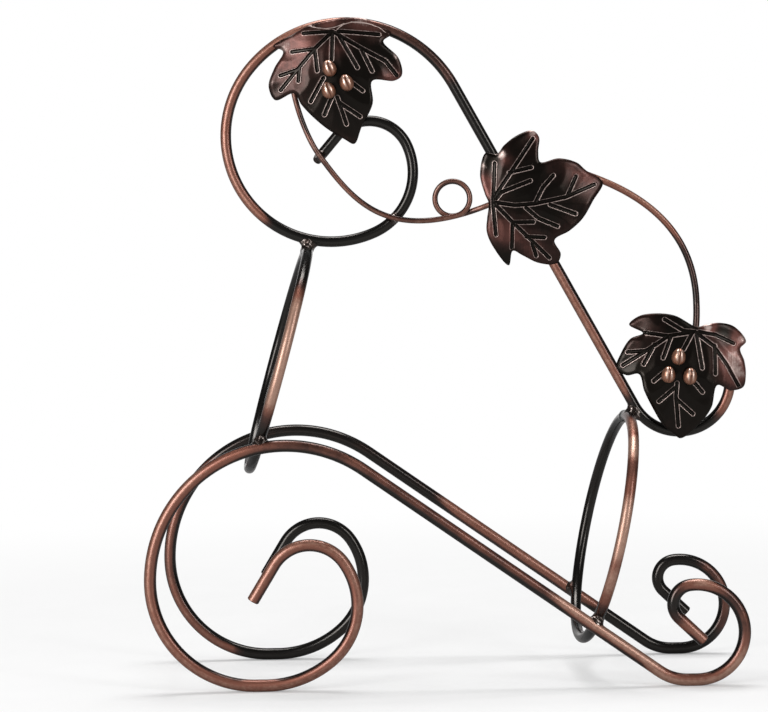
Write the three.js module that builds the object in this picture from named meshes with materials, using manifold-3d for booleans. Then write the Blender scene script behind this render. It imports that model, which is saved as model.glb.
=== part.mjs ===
// Bottle holder of bent and welded rod: two scrolled side rods, two rings and a handle with vine leaves
// Lengths in millimetres, angles in degrees, Z up, X along the bottle, Y across it
import * as THREE from 'three';
import { mergeVertices } from 'three/addons/utils/BufferGeometryUtils.js';
import { TessellateModifier } from 'three/addons/modifiers/TessellateModifier.js';
import Module from 'manifold-3d';

const wasm = await Module();
wasm.setup();

// Rod stock, and the gap that touching pieces keep
const sideRodDiameter = 5;
const ringRodDiameter = 4.5;
const handleRodDiameter = 4.5;
const tendrilDiameter = 2.3;
const stemDiameter = 2.8;
const seatGap = 0.3;

// Side rods: the big scroll's bends, in the order of its turn inwards
const sideRodSpacing = 75;
const footSpacing = 174.5;
const footFlatLength = 4;
const crestRadius = 55.3;
const lowRadius = 42.1;
const innerRadius = 29.9;
const innerStartAngle = -50;
const hookRadius = 16.9;
const hookStartAngle = 34;
const hookEndAngle = 150;
const hookTail = 16.5;

// Side rods: the small scroll's bends
const smallRadius = 19.3;
const smallCurlRadius = 7.8;
const smallCurlStartAngle = 98;
const smallCurlEndAngle = 229.7;
const smallTail = 13.3;

// Rings: both alike, leaning with their tops to the right and turned a little about their own height
const ringInnerDiameter = 89.5;
const ringTurnAngle = 4.8;
const neckRingLeanAngle = 16.2;
const neckRingSeatAngle = 104.8;
const bodyRingLeanAngle = 13;
const bodyRingDown = 111;

// Handle: a loop on the neck ring, a crown, a straight and a hook on the body ring
const loopRadius = 43.8;
const loopSeatAngle = 77;
const crownRadius = 51.5;
const crownStartAngle = 141.4;
const loopInnerRadius = 27.2;
const loopInnerStartAngle = -67;
const curlRadius = 17.3;
const curlStartAngle = 23.5;
const curlEndAngle = 140.8;
const curlTail = 10.7;
const handleHookRadius = 21.1;
const handleHookSeatAngle = 33.9;
const handleHookEndAngle = 20;

// Leaves: stamped sheet, cupped to a shallow dome, each named from where its veins meet
const leafThickness = 1.4;
const leafCupRadius = 100;
const upperLeafAngle = 95.2;
const upperLeafDrop = 4.1;
const upperLeafCrown = new THREE.Vector2(2.7, -17.2);
const middleLeafDown = 58;
const middleLeafRoot = new THREE.Vector2(-13.9, 2);
const lowerLeafRoot = new THREE.Vector2(6.6, 21);

// Berries
const berryWidth = 5.7;
const berryHeight = 7;
const berryDepth = 4.8;

// Tendril and stem: where they start and end, from the root of a leaf, and how hard each end pulls the
// curve. The tendril passes over the end of the handle's tail
const tendrilStart = new THREE.Vector2(-17.3, -19.6);
const tendrilStartAngle = -85;
const tendrilStartPull = 8;
const tendrilTailInset = 0.3;
const tendrilTailAngle = -55;
const tendrilTailPull = 11;
const tendrilLoopFoot = new THREE.Vector2(-13.6, -4.8);
const tendrilLoopAngle = 13;
const tendrilLeadPull = 22;
const tendrilEndPull = 32;
const tendrilEndBendAngle = 8;
const tendrilLoopRadius = 7.2;
const tendrilLoopPitch = tendrilDiameter + 0.5;
const tendrilEnd = new THREE.Vector2(6, 1.8);
const stemStart = new THREE.Vector2(33, 13.6);
const stemStartAngle = -16.6;
const stemStartPull = 22.5;
const stemEnd = new THREE.Vector2(-0.6, -5.8);
const stemEndAngle = -101.7;
const stemEndPull = 52.2;

// Welds
const beadRadius = 3.6;
const tendrilBeadRadius = 2.6;
const tackRadius = 1;
const tackLength = 4;
const crownTackAngle = 12;
const middleTackSpread = 17;
const hookTackAngle = -90;
const hookEndTackAngle = 8;
const wireTackInset = 3;

// How finely the rods are cut
const rodSides = 12;
const wireSides = 8;
const ringSteps = 36;
const bendStep = 12;
const loopSteps = 24;

const toRadians = Math.PI / 180;
const ringRadius = (ringInnerDiameter + ringRodDiameter) / 2;

// Materials
const rodMetal = new THREE.MeshStandardMaterial({ color: 0x7a4a3c, roughness: 0.32, metalness: 0.9 });
const leafMetal = new THREE.MeshStandardMaterial({ color: 0x3d2320, roughness: 0.4, metalness: 0.85 });
const berryMetal = new THREE.MeshStandardMaterial({ color: 0xb9805f, roughness: 0.3, metalness: 0.9 });
const weldMetal = new THREE.MeshStandardMaterial({ color: 0x4a3a35, roughness: 0.35, metalness: 0.9 });

// A point at an angle round a centre, in an upright plane: a Vector2 holds x and the height z
function around(centre, radius, degrees) {
  const angle = degrees * toRadians;
  return new THREE.Vector2(centre.x + radius * Math.cos(angle), centre.y + radius * Math.sin(angle));
}

// The same point set at a depth y
function atDepth(place, depth) {
  return new THREE.Vector3(place.x, depth, place.y);
}

// The angle at which a straight leaves one circle over its top to pass under the next
function crossTangent(first, firstRadius, second, secondRadius) {
  const apart = second.clone().sub(first);
  const swing = Math.acos((firstRadius + secondRadius) / apart.length());
  return (Math.atan2(apart.y, apart.x) + swing) / toRadians;
}

// Stations on a bend: places with the heading of the rod there
function bend(centre, radius, from, to) {
  const count = Math.max(1, Math.ceil(Math.abs(to - from) / bendStep));
  const quarter = 90 * Math.sign(to - from);
  const still = new THREE.Vector2();
  return Array.from({ length: count + 1 }, (_, i) => {
    const angle = from + (to - from) * i / count;
    return { place: around(centre, radius, angle), heading: around(still, 1, angle + quarter) };
  });
}

// A station further along a straight: forwards from a bend's end, or backwards with a length below zero
function straight(station, length) {
  const place = station.place.clone().addScaledVector(station.heading, length);
  return [{ place, heading: station.heading }];
}

// A rod's centre line: straight between its stations, each with a point and a heading
class RodLine extends THREE.Curve {
  constructor(stations) {
    super();
    this.stations = stations;
  }

  get steps() {
    return this.stations.length - 1;
  }

  getPoint(t, target = new THREE.Vector3()) {
    const along = THREE.MathUtils.clamp(t, 0, 1) * this.steps;
    const first = Math.min(Math.floor(along), this.steps - 1);
    return target.lerpVectors(this.stations[first].point, this.stations[first + 1].point, along - first);
  }

  getTangent(t, target = new THREE.Vector3()) {
    return target.copy(this.stations[Math.round(t * this.steps)].heading);
  }

  getUtoTmapping(u) {
    return u;
  }
}

// A line in an upright plane, from runs of stations
function flatLine(depth, runs) {
  const stations = [];
  for (const { place, heading } of runs.flat()) {
    const point = atDepth(place, depth);
    const last = stations[stations.length - 1];
    if (last && last.point.distanceTo(point) < 1e-6) continue;
    stations.push({ point, heading: atDepth(heading, 0) });
  }
  return new RodLine(stations);
}

// A line through points in space, each heading along its neighbours
function lineThrough(points) {
  return new RodLine(points.map((point, i) => {
    const before = points[Math.max(i - 1, 0)];
    const after = points[Math.min(i + 1, points.length - 1)];
    return { point, heading: after.clone().sub(before).normalize() };
  }));
}

// A round rod along a line, with flats that lie the rod's radius from its centre
function rodGeometry(line, diameter, sides) {
  const corner = diameter / 2 / Math.cos(Math.PI / sides);
  const still = new THREE.Vector2();
  const corners = Array.from({ length: sides }, (_, i) => around(still, corner, (i + 0.5) * 360 / sides));
  const section = new THREE.Shape(corners);
  return new THREE.ExtrudeGeometry(section, { steps: line.steps, extrudePath: line });
}

// Points all along a line, at most a spacing apart
function pointsAlong(line, spacing) {
  return line.stations.slice(1).flatMap(({ point }, i) => {
    const before = line.stations[i].point;
    const count = Math.ceil(before.distanceTo(point) / spacing);
    return Array.from({ length: count }, (_, k) => before.clone().lerp(point, k / count));
  });
}

// The point of a line that lies nearest another point
function nearestOn(line, point) {
  const piece = new THREE.Line3();
  const found = new THREE.Vector3();
  let best = { distance: Infinity };
  for (let i = 0; i < line.steps; i += 1) {
    piece.set(line.stations[i].point, line.stations[i + 1].point);
    piece.closestPointToPoint(point, true, found);
    const distance = found.distanceTo(point);
    if (distance < best.distance) {
      best = { distance, point: found.clone(), heading: line.stations[i].heading };
    }
  }
  return best;
}

// Where two lines come nearest, between two shares of the first: the distance and the middle of the gap
function meeting(first, second, [from, to]) {
  const points = pointsAlong(first, 0.5);
  let best = { distance: Infinity };
  for (const point of points.slice(Math.floor(from * points.length), Math.ceil(to * points.length))) {
    const near = nearestOn(second, point);
    if (near.distance < best.distance) {
      best = { distance: near.distance, middle: point.clone().lerp(near.point, 0.5) };
    }
  }
  return best;
}

// A closed geometry as a solid, and back
function toSolid(geometry) {
  const bare = geometry.clone();
  bare.deleteAttribute('normal');
  bare.deleteAttribute('uv');
  const merged = mergeVertices(bare, 1e-4);
  const vertProperties = new Float32Array(merged.attributes.position.array);
  const triVerts = new Uint32Array(merged.index.array);
  return new wasm.Manifold(new wasm.Mesh({ numProp: 3, vertProperties, triVerts }));
}

function toGeometry(solid) {
  const mesh = solid.getMesh();
  const geometry = new THREE.BufferGeometry();
  geometry.setAttribute('position', new THREE.BufferAttribute(new Float32Array(mesh.vertProperties), 3));
  geometry.setIndex(new THREE.BufferAttribute(new Uint32Array(mesh.triVerts), 1));
  geometry.computeVertexNormals();
  return geometry;
}

const holder = new THREE.Group();

function add(name, geometry, material) {
  const mesh = new THREE.Mesh(geometry, material);
  mesh.name = name;
  holder.add(mesh);
  return mesh;
}

// Side rods: the big scroll's low point stands at x = 0
const scrollHeight = sideRodDiameter / 2 + lowRadius;
const lowCentre = new THREE.Vector2(-footFlatLength / 2, scrollHeight);
const lowCentrePastFoot = new THREE.Vector2(footFlatLength / 2, scrollHeight);
const crestCentre = new THREE.Vector2(lowCentre.x + crestRadius - lowRadius, scrollHeight);
const innerCentre = around(lowCentrePastFoot, lowRadius - innerRadius, innerStartAngle);
const hookCentre = around(innerCentre, innerRadius - hookRadius, hookStartAngle);
const smallHeight = sideRodDiameter / 2 + smallRadius;
const smallCentre = new THREE.Vector2(footSpacing - footFlatLength / 2, smallHeight);
const smallCentrePastFoot = new THREE.Vector2(footSpacing + footFlatLength / 2, smallHeight);
const smallCurlCentre = around(smallCentrePastFoot, smallRadius - smallCurlRadius, smallCurlStartAngle);
const slopeAngle = crossTangent(crestCentre, crestRadius, smallCentre, smallRadius);

function sideRodLine(depth) {
  const hook = bend(hookCentre, hookRadius, hookEndAngle, hookStartAngle);
  const curl = bend(smallCurlCentre, smallCurlRadius, smallCurlStartAngle, smallCurlEndAngle);
  return flatLine(depth, [
    straight(hook[0], -hookTail),
    hook,
    bend(innerCentre, innerRadius, hookStartAngle, innerStartAngle),
    bend(lowCentrePastFoot, lowRadius, innerStartAngle, -90),
    bend(lowCentre, lowRadius, -90, -180),
    bend(crestCentre, crestRadius, 180, slopeAngle),
    bend(smallCentre, smallRadius, slopeAngle - 180, -90),
    bend(smallCentrePastFoot, smallRadius, -90, smallCurlStartAngle),
    curl,
    straight(curl[curl.length - 1], smallTail),
  ]);
}

const sideRods = {
  front: sideRodLine(-sideRodSpacing / 2),
  rear: sideRodLine(sideRodSpacing / 2),
};
for (const [side, line] of Object.entries(sideRods)) {
  add(`${side}_side_rod`, rodGeometry(line, sideRodDiameter, rodSides), rodMetal);
}

// Rings: each stands on the side rods, slid up its own height and across until both rods touch it.
// A ring's line runs from its top over the front to the rear, and these shares of it meet the other rods
const ringShares = { top: [0, 0.1], front: [0.25, 0.5], rear: [0.5, 0.75] };
const nudge = 0.5;
const seatPasses = 6;

function ringFrame(lean) {
  const up = new THREE.Vector3(Math.sin(lean * toRadians), 0, Math.cos(lean * toRadians));
  const square = new THREE.Vector3(-Math.cos(lean * toRadians), 0, Math.sin(lean * toRadians));
  const across = new THREE.Vector3(0, Math.cos(ringTurnAngle * toRadians), 0);
  across.addScaledVector(square, Math.sin(ringTurnAngle * toRadians));
  return { up, across };
}

function ringLine(centre, { up, across }) {
  const points = Array.from({ length: ringSteps + 1 }, (_, i) => {
    const angle = (90 + i * 360 / ringSteps) * toRadians;
    return centre.clone()
      .addScaledVector(across, ringRadius * Math.cos(angle))
      .addScaledVector(up, ringRadius * Math.sin(angle));
  });
  return lineThrough(points);
}

function seatRing(place, lean) {
  const frame = ringFrame(lean);
  const contact = (sideRodDiameter + ringRodDiameter) / 2 + seatGap;
  const start = atDepth(place, 0);
  const centreAt = (slide, shift) => start.clone().addScaledVector(frame.up, slide).setY(shift);
  const misses = (slide, shift) => {
    const line = ringLine(centreAt(slide, shift), frame);
    return [
      meeting(line, sideRods.front, ringShares.front).distance - contact,
      meeting(line, sideRods.rear, ringShares.rear).distance - contact,
    ];
  };
  let slide = Math.sqrt((ringRadius + contact) ** 2 - (sideRodSpacing / 2) ** 2);
  let shift = 0;
  for (let pass = 0; pass < seatPasses; pass += 1) {
    const [front, rear] = misses(slide, shift);
    const [frontSlid, rearSlid] = misses(slide + nudge, shift);
    const [frontShifted, rearShifted] = misses(slide, shift + nudge);
    const a = (frontSlid - front) / nudge;
    const b = (frontShifted - front) / nudge;
    const c = (rearSlid - rear) / nudge;
    const d = (rearShifted - rear) / nudge;
    const spread = a * d - b * c;
    slide -= (d * front - b * rear) / spread;
    shift -= (a * rear - c * front) / spread;
  }
  const centre = centreAt(slide, shift);
  const top = centre.clone().addScaledVector(frame.up, ringRadius);
  return { centre, frame, top: new THREE.Vector2(top.x, top.z), line: ringLine(centre, frame) };
}

const slopeTop = around(crestCentre, crestRadius, slopeAngle);
const rings = {
  neck: seatRing(around(crestCentre, crestRadius, neckRingSeatAngle), neckRingLeanAngle),
  body: seatRing(around(slopeTop, bodyRingDown, slopeAngle - 90), bodyRingLeanAngle),
};

// Ring solids: a closed ring, its ends butt welded
function ringGeometry(diameter) {
  return new THREE.TorusGeometry(ringRadius, diameter / 2, rodSides, ringSteps);
}

function ringTurned({ centre, frame }) {
  const square = new THREE.Vector3().crossVectors(frame.across, frame.up);
  return new THREE.Matrix4().makeBasis(frame.across, frame.up, square).setPosition(centre);
}

for (const [name, ring] of Object.entries(rings)) {
  const mesh = add(`${name}_ring`, ringGeometry(ringRodDiameter), rodMetal);
  mesh.position.copy(ring.centre);
  mesh.quaternion.setFromRotationMatrix(ringTurned(ring));
}

// Handle: its loop stands on the neck ring's top and its hook lies against the body ring's top
const handleSeat = (ringRodDiameter + handleRodDiameter) / 2 + seatGap;
const loopCentre = around(rings.neck.top, loopRadius + handleSeat, loopSeatAngle);
const crownCentre = around(loopCentre, loopRadius - crownRadius, crownStartAngle);
const loopInnerCentre = around(loopCentre, loopRadius - loopInnerRadius, loopInnerStartAngle);
const curlCentre = around(loopInnerCentre, loopInnerRadius - curlRadius, curlStartAngle);
const handleHookCentre = around(rings.body.top, handleHookRadius + handleSeat, handleHookSeatAngle);
const crownEnd = crossTangent(crownCentre, crownRadius, handleHookCentre, handleHookRadius);

function handleLine() {
  const curl = bend(curlCentre, curlRadius, curlEndAngle, curlStartAngle);
  return flatLine(0, [
    straight(curl[0], -curlTail),
    curl,
    bend(loopInnerCentre, loopInnerRadius, curlStartAngle, loopInnerStartAngle),
    bend(loopCentre, loopRadius, loopInnerStartAngle, crownStartAngle - 360),
    bend(crownCentre, crownRadius, crownStartAngle, crownEnd),
    bend(handleHookCentre, handleHookRadius, crownEnd - 180, handleHookEndAngle),
  ]);
}

const handle = handleLine();
add('handle_rod', rodGeometry(handle, handleRodDiameter, rodSides), rodMetal);

// Leaf outlines: lobe tips, shoulders and the notches between lobes, from the meeting of the veins
const upperLeafOutline = [
  [-25, -5], [-20.8, -7.3], [-24.6, -14.2], [-27.1, -21.6], [-24.4, -27.3], [-16.3, -24.7],
  [-13.5, -29.5], [-4.5, -38.5], [4, -44], [8, -45.9], [11.2, -39], [16, -29.5], [16, -20.3], [25, -20.3],
  [28.2, -18], [27, -11], [20.8, -4], [24, -1], [14.5, 5], [7, 6], [-8.5, 3.5], [-17, -0.5],
];
const middleLeafOutline = [
  [-0.3, 0], [-1, -6], [-1.3, -11.5], [1, -17.5], [7.7, -25.8], [9.4, -19.8], [13.5, -21.8], [20, -25],
  [27.5, -25.4], [29.3, -21.5], [26.7, -15.7], [33, -11.9], [38.5, -7], [43, 0.3], [47.3, 8], [40.2, 13],
  [36.5, 16.2], [29, 18.1], [21.3, 16.7], [20.6, 21], [21.1, 27], [18.5, 29.8], [12.5, 28.2], [6.5, 23.9],
  [3.5, 20.4], [-1.2, 20.9], [-3.6, 12], [-1.8, 4],
];
const lowerLeafOutline = [
  [0.8, 1.5], [-8.2, 6.3], [-16.5, 7.3], [-23, 6.2], [-27, 2.7], [-21.5, -0.8], [-26.6, -3],
  [-30.5, -8.7], [-32.6, -15.3], [-28.5, -18.2], [-23.5, -17.7], [-21.5, -24.5], [-18.2, -31.5],
  [-14, -38.7], [-9.3, -43], [-6.4, -44.8], [1.6, -38.5], [6.3, -32], [8.8, -22.8], [14.4, -25.2],
  [19.9, -24], [21, -19.3], [20.4, -13], [18.9, -8.1], [21.5, -5.1], [16.5, 1.2], [10.5, 2.9], [5, 2.4],
];

// A leaf: its rounded outline, the middle of its cup, and the depth that lays its back on the handle
const outlineCuts = 2;
const leafMeshEdge = 8;
const leafMeshPasses = 12;

function isInside(outline, place) {
  let inside = false;
  outline.forEach((corner, i) => {
    const last = outline[(i + outline.length - 1) % outline.length];
    if ((corner.y > place.y) === (last.y > place.y)) return;
    const crossing = corner.x + (last.x - corner.x) * (place.y - corner.y) / (last.y - corner.y);
    if (place.x < crossing) inside = !inside;
  });
  return inside;
}

// Places all over the front of a rod in the handle's plane, with how far it stands forward there
const widthShares = [-1, -0.6, 0, 0.6, 1];

function rodTops(line, diameter) {
  const corner = diameter / 2 / Math.cos(Math.PI / rodSides);
  return pointsAlong(line, 1).flatMap((point) => {
    const { heading } = nearestOn(line, point);
    return widthShares.map((share) => ({
      place: new THREE.Vector2(point.x - heading.z * corner * share, point.z + heading.x * corner * share),
      top: corner * Math.sqrt(1 - share ** 2),
    }));
  });
}

function makeLeaf(root, points, crown) {
  const knots = points.map(([x, z]) => new THREE.Vector3(x, z, 0));
  const ring = new THREE.CatmullRomCurve3(knots, true, 'centripetal').getPoints(outlineCuts * knots.length);
  const outline = ring.slice(0, -1).map(({ x, y }) => new THREE.Vector2(root.x + x, root.y + y));
  const reach = Math.max(...outline.map((corner) => corner.distanceTo(crown)));
  const cup = (place) => Math.min(place.distanceTo(crown), reach) ** 2 / (2 * leafCupRadius);
  const seats = rodTops(handle, handleRodDiameter)
    .filter(({ place }) => isInside(outline, place))
    .map(({ place, top }) => -top - seatGap - cup(place));
  const seat = Math.min(...seats);
  return { root, outline, back: (place) => seat + cup(place) };
}

function leafGeometry(leaf) {
  const outline = new THREE.Shape(leaf.outline);
  const slab = new THREE.ExtrudeGeometry(outline, { depth: leafThickness, bevelEnabled: false });
  const fine = new TessellateModifier(leafMeshEdge, leafMeshPasses).modify(slab);
  fine.deleteAttribute('normal');
  fine.deleteAttribute('uv');
  fine.rotateX(Math.PI / 2);
  const position = fine.attributes.position;
  for (let i = 0; i < position.count; i += 1) {
    const place = new THREE.Vector2(position.getX(i), position.getZ(i));
    position.setY(i, position.getY(i) + leaf.back(place));
  }
  const merged = mergeVertices(fine, 1e-4);
  merged.computeVertexNormals();
  return merged;
}

const slopeDown = crownEnd - 90;
const handleSlopeTop = around(crownCentre, crownRadius, crownEnd);
const middleCrown = around(handleSlopeTop, middleLeafDown, slopeDown);
const upperRoot = around(crownCentre, crownRadius - upperLeafDrop, upperLeafAngle);
const leaves = {
  upper: makeLeaf(upperRoot, upperLeafOutline, upperRoot.clone().add(upperLeafCrown)),
  middle: makeLeaf(middleCrown.clone().add(middleLeafRoot), middleLeafOutline, middleCrown),
  lower: makeLeaf(handleHookCentre.clone().add(lowerLeafRoot), lowerLeafOutline, handleHookCentre),
};
for (const [name, leaf] of Object.entries(leaves)) {
  add(`${name}_leaf`, leafGeometry(leaf), leafMetal);
}

// Berries: round in front, flat where they sit on the leaf
const berryPlaces = {
  upper: [[-1.5, -15], [5.5, -21], [-2, -24]],
  lower: [[-7.4, -10.5], [-11.7, -17.8], [-2.8, -18.6]],
};
const berryFlat = 0.55;
const berryCuts = 5;
const berrySides = 8;
const rimPlaces = 12;

function berryGeometry() {
  const start = -Math.acos(berryFlat);
  const profile = Array.from({ length: berryCuts + 1 }, (_, i) => {
    const angle = start + (Math.PI / 2 - start) * i / berryCuts;
    return new THREE.Vector2(i === berryCuts ? 0 : Math.cos(angle), Math.sin(angle));
  });
  profile.unshift(new THREE.Vector2(0, profile[0].y));
  const lathe = new THREE.LatheGeometry(profile, berrySides);
  lathe.translate(0, -profile[0].y, 0);
  lathe.rotateX(Math.PI);
  lathe.scale(berryWidth / 2, berryDepth / (1 - profile[0].y), berryHeight / 2);
  return lathe;
}

for (const [name, places] of Object.entries(berryPlaces)) {
  places.forEach(([x, z], i) => {
    const leaf = leaves[name];
    const place = leaf.root.clone().add(new THREE.Vector2(x, z));
    const footRadius = berryFlat * berryHeight / 2;
    const rim = Array.from({ length: rimPlaces }, (_, k) => (
      leaf.back(around(place, footRadius, k * 360 / rimPlaces))
    ));
    const mesh = add(`${name}_leaf_berry_${i + 1}`, berryGeometry(), berryMetal);
    mesh.position.copy(atDepth(place, Math.min(...rim) - leafThickness - seatGap));
  });
}

// Tendril: from behind the upper leaf over the handle's tail and curl, round its loop, to behind the
// middle leaf. It changes depth, and so does the stem, between these shares of a run
const tailSteps = 8;
const leadSteps = 13;
const lastSteps = 6;
const stemSteps = 18;
const comesForward = [0.3, 0.9];
const goesBehind = [0, 0.6];
const stemCrosses = [0.2, 0.85];
const behind = (leaf, place, diameter) => leaf.back(place) + seatGap + diameter / 2;
const inFront = -(handleRodDiameter + tendrilDiameter) / 2 - seatGap;

function sweep(points, steps) {
  const curve = new THREE.CubicBezierCurve(...points);
  return Array.from({ length: steps + 1 }, (_, i) => ({ place: curve.getPoint(i / steps), t: i / steps }));
}

function tendrilLine() {
  const start = leaves.upper.root.clone().add(tendrilStart);
  const foot = leaves.middle.root.clone().add(tendrilLoopFoot);
  const end = leaves.middle.root.clone().add(tendrilEnd);
  const [tail] = handle.stations;
  const inset = tail.point.clone().addScaledVector(tail.heading, tendrilTailInset);
  const crossing = new THREE.Vector2(inset.x, inset.z);
  const toTail = sweep([
    start,
    around(start, tendrilStartPull, tendrilStartAngle),
    around(crossing, -tendrilTailPull, tendrilTailAngle),
    crossing,
  ], tailSteps);
  const points = toTail.map(({ place, t }) => {
    const blend = THREE.MathUtils.smoothstep(t, ...comesForward);
    const first = behind(leaves.upper, place, tendrilDiameter);
    return atDepth(place, THREE.MathUtils.lerp(first, inFront, blend));
  });
  const lead = sweep([
    crossing,
    around(crossing, tendrilLeadPull, tendrilTailAngle),
    around(foot, -tendrilEndPull, tendrilLoopAngle),
    foot,
  ], leadSteps);
  points.push(...lead.slice(1).map(({ place }) => atDepth(place, inFront)));
  const centre = around(foot, tendrilLoopRadius, tendrilLoopAngle + 90);
  for (let i = 1; i <= loopSteps; i += 1) {
    const turn = i / loopSteps;
    const place = around(centre, tendrilLoopRadius, tendrilLoopAngle - 90 + 360 * turn);
    points.push(atDepth(place, inFront + tendrilLoopPitch * turn));
  }
  const third = foot.distanceTo(end) / 3;
  const onward = around(foot, third, tendrilLoopAngle);
  const nearEnd = around(onward, third, tendrilLoopAngle + tendrilEndBendAngle);
  const last = sweep([foot, onward, nearEnd, end], lastSteps);
  for (const { place, t } of last.slice(1)) {
    const blend = THREE.MathUtils.smoothstep(t, ...goesBehind);
    const rest = behind(leaves.middle, place, tendrilDiameter);
    points.push(atDepth(place, THREE.MathUtils.lerp(inFront + tendrilLoopPitch, rest, blend)));
  }
  return lineThrough(points);
}

// Stem: from behind the middle leaf's tip down to behind the lower leaf's root
function stemLine() {
  const start = leaves.middle.root.clone().add(stemStart);
  const end = leaves.lower.root.clone().add(stemEnd);
  const after = around(start, stemStartPull, stemStartAngle);
  const before = around(end, -stemEndPull, stemEndAngle);
  return lineThrough(sweep([start, after, before, end], stemSteps).map(({ place, t }) => {
    const blend = THREE.MathUtils.smoothstep(t, ...stemCrosses);
    const first = behind(leaves.middle, place, stemDiameter);
    return atDepth(place, THREE.MathUtils.lerp(first, behind(leaves.lower, place, stemDiameter), blend));
  }));
}

const tendril = tendrilLine();
const stem = stemLine();
add('tendril', rodGeometry(tendril, tendrilDiameter, wireSides), rodMetal);
add('leaf_stem', rodGeometry(stem, stemDiameter, wireSides), rodMetal);

// Weld beads: a drop of metal in the corner between two crossing rods, cut clear of both.
// The tendril crosses the handle's tail early in its run and the curl near the middle
const tendrilShares = { tail: [0, 0.3], curl: [0.35, 0.6] };
const beadSides = 8;
const beadRows = 6;

function grown(line, diameter, sides) {
  return toSolid(rodGeometry(line, diameter + 2 * seatGap, sides));
}

const cutters = {
  front: grown(sideRods.front, sideRodDiameter, rodSides),
  rear: grown(sideRods.rear, sideRodDiameter, rodSides),
  top: grown(handle, handleRodDiameter, rodSides),
  tendril: grown(tendril, tendrilDiameter, wireSides),
  neck: toSolid(ringGeometry(ringRodDiameter + 2 * seatGap).applyMatrix4(ringTurned(rings.neck))),
  body: toSolid(ringGeometry(ringRodDiameter + 2 * seatGap).applyMatrix4(ringTurned(rings.body))),
};

function bead(name, place, radius, rods) {
  const drop = new THREE.SphereGeometry(radius, beadSides, beadRows).translate(place.x, place.y, place.z);
  const solid = rods.reduce((rest, rod) => rest.subtract(cutters[rod]), toSolid(drop));
  add(name, toGeometry(solid), weldMetal);
}

const neighbours = { top: handle, front: sideRods.front, rear: sideRods.rear };
for (const [name, ring] of Object.entries(rings)) {
  for (const [side, line] of Object.entries(neighbours)) {
    const { middle } = meeting(ring.line, line, ringShares[side]);
    bead(`${name}_ring_${side}_weld`, middle, beadRadius, [name, side]);
  }
}
for (const [name, shares] of Object.entries(tendrilShares)) {
  const { middle } = meeting(tendril, handle, shares);
  bead(`tendril_${name}_weld`, middle, tendrilBeadRadius, ['tendril', 'top']);
}

// Tacks: short runs of weld in the corner between a rod and the back of a leaf.
// A tack lies on one side of its rod and rolls round it until it touches the leaf
const tackShares = [-1, 0, 1];
const tackPasses = 4;
const tackCapCuts = 2;
const tackSides = 6;

function tack(name, rod, leafName, place, side) {
  const { line, diameter } = tackedRods[rod];
  const leaf = leaves[leafName];
  const { point, heading } = nearestOn(line, atDepth(place, 0));
  const run = heading.clone().setY(0).normalize();
  const across = new THREE.Vector3(-run.z * side, 0, run.x * side);
  const reach = diameter / 2 + tackRadius + seatGap;
  const centre = point.clone().addScaledVector(across, reach);
  for (let pass = 0; pass < tackPasses; pass += 1) {
    const backs = tackShares.flatMap((along) => tackShares.map((over) => {
      const spot = centre.clone().addScaledVector(run, along * tackLength / 2);
      spot.addScaledVector(across, over * tackRadius);
      return leaf.back(new THREE.Vector2(spot.x, spot.z));
    }));
    const depth = Math.max(...backs) + tackRadius + seatGap;
    const aside = Math.sqrt(Math.max(reach ** 2 - (depth - point.y) ** 2, 0));
    centre.copy(point).addScaledVector(across, aside).setY(depth);
  }
  const straightPart = tackLength - 2 * tackRadius;
  const capsule = new THREE.CapsuleGeometry(tackRadius, straightPart, tackCapCuts, tackSides);
  const mesh = add(name, capsule, weldMetal);
  mesh.position.copy(centre);
  mesh.quaternion.setFromUnitVectors(new THREE.Vector3(0, 1, 0), run);
}

const tackedRods = {
  handle: { line: handle, diameter: handleRodDiameter },
  tendril: { line: tendril, diameter: tendrilDiameter },
  stem: { line: stem, diameter: stemDiameter },
};
const onCrown = (angle) => around(crownCentre, crownRadius, angle);
const downSlope = (distance) => around(middleCrown, distance, slopeDown);
const onHook = (angle) => around(handleHookCentre, handleHookRadius, angle);
const onWire = (stations) => {
  let left = wireTackInset;
  const end = stations.findIndex(({ point }, i) => {
    const span = i > 0 ? point.distanceTo(stations[i - 1].point) : 0;
    if (left <= span) return true;
    left -= span;
    return false;
  });
  const before = stations[end - 1].point;
  const place = before.clone().lerp(stations[end].point, left / before.distanceTo(stations[end].point));
  return new THREE.Vector2(place.x, place.z);
};
tack('upper_leaf_left_tack', 'handle', 'upper', onCrown(upperLeafAngle + crownTackAngle), -1);
tack('upper_leaf_right_tack', 'handle', 'upper', onCrown(upperLeafAngle - crownTackAngle), -1);
tack('middle_leaf_top_tack', 'handle', 'middle', downSlope(-middleTackSpread), 1);
tack('middle_leaf_low_tack', 'handle', 'middle', downSlope(middleTackSpread), 1);
tack('lower_leaf_tip_tack', 'handle', 'lower', onHook(hookTackAngle), 1);
tack('lower_leaf_end_tack', 'handle', 'lower', onHook(hookEndTackAngle), 1);
tack('tendril_start_tack', 'tendril', 'upper', onWire(tendril.stations), 1);
tack('tendril_end_tack', 'tendril', 'middle', onWire(tendril.stations.toReversed()), 1);
tack('stem_start_tack', 'stem', 'middle', onWire(stem.stations), -1);
tack('stem_end_tack', 'stem', 'lower', onWire(stem.stations.toReversed()), 1);

// The origin is the middle of the part's base
const box = new THREE.Box3().setFromObject(holder, true);
holder.position.set(-(box.min.x + box.max.x) / 2, -(box.min.y + box.max.y) / 2, -box.min.z);

export default holder;
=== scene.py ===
"""Looks of the bottle holder: antique copper rods and rings, stamped vine leaves, berries and welds.

Lengths are in millimetres and angles in degrees until a mesh is made.
Z is up, X runs along the bottle, and the camera looks along +Y.
"""

import math

import bmesh
import bpy
import numpy as np
from mathutils import Matrix, Vector
from mathutils.geometry import delaunay_2d_cdt


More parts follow.
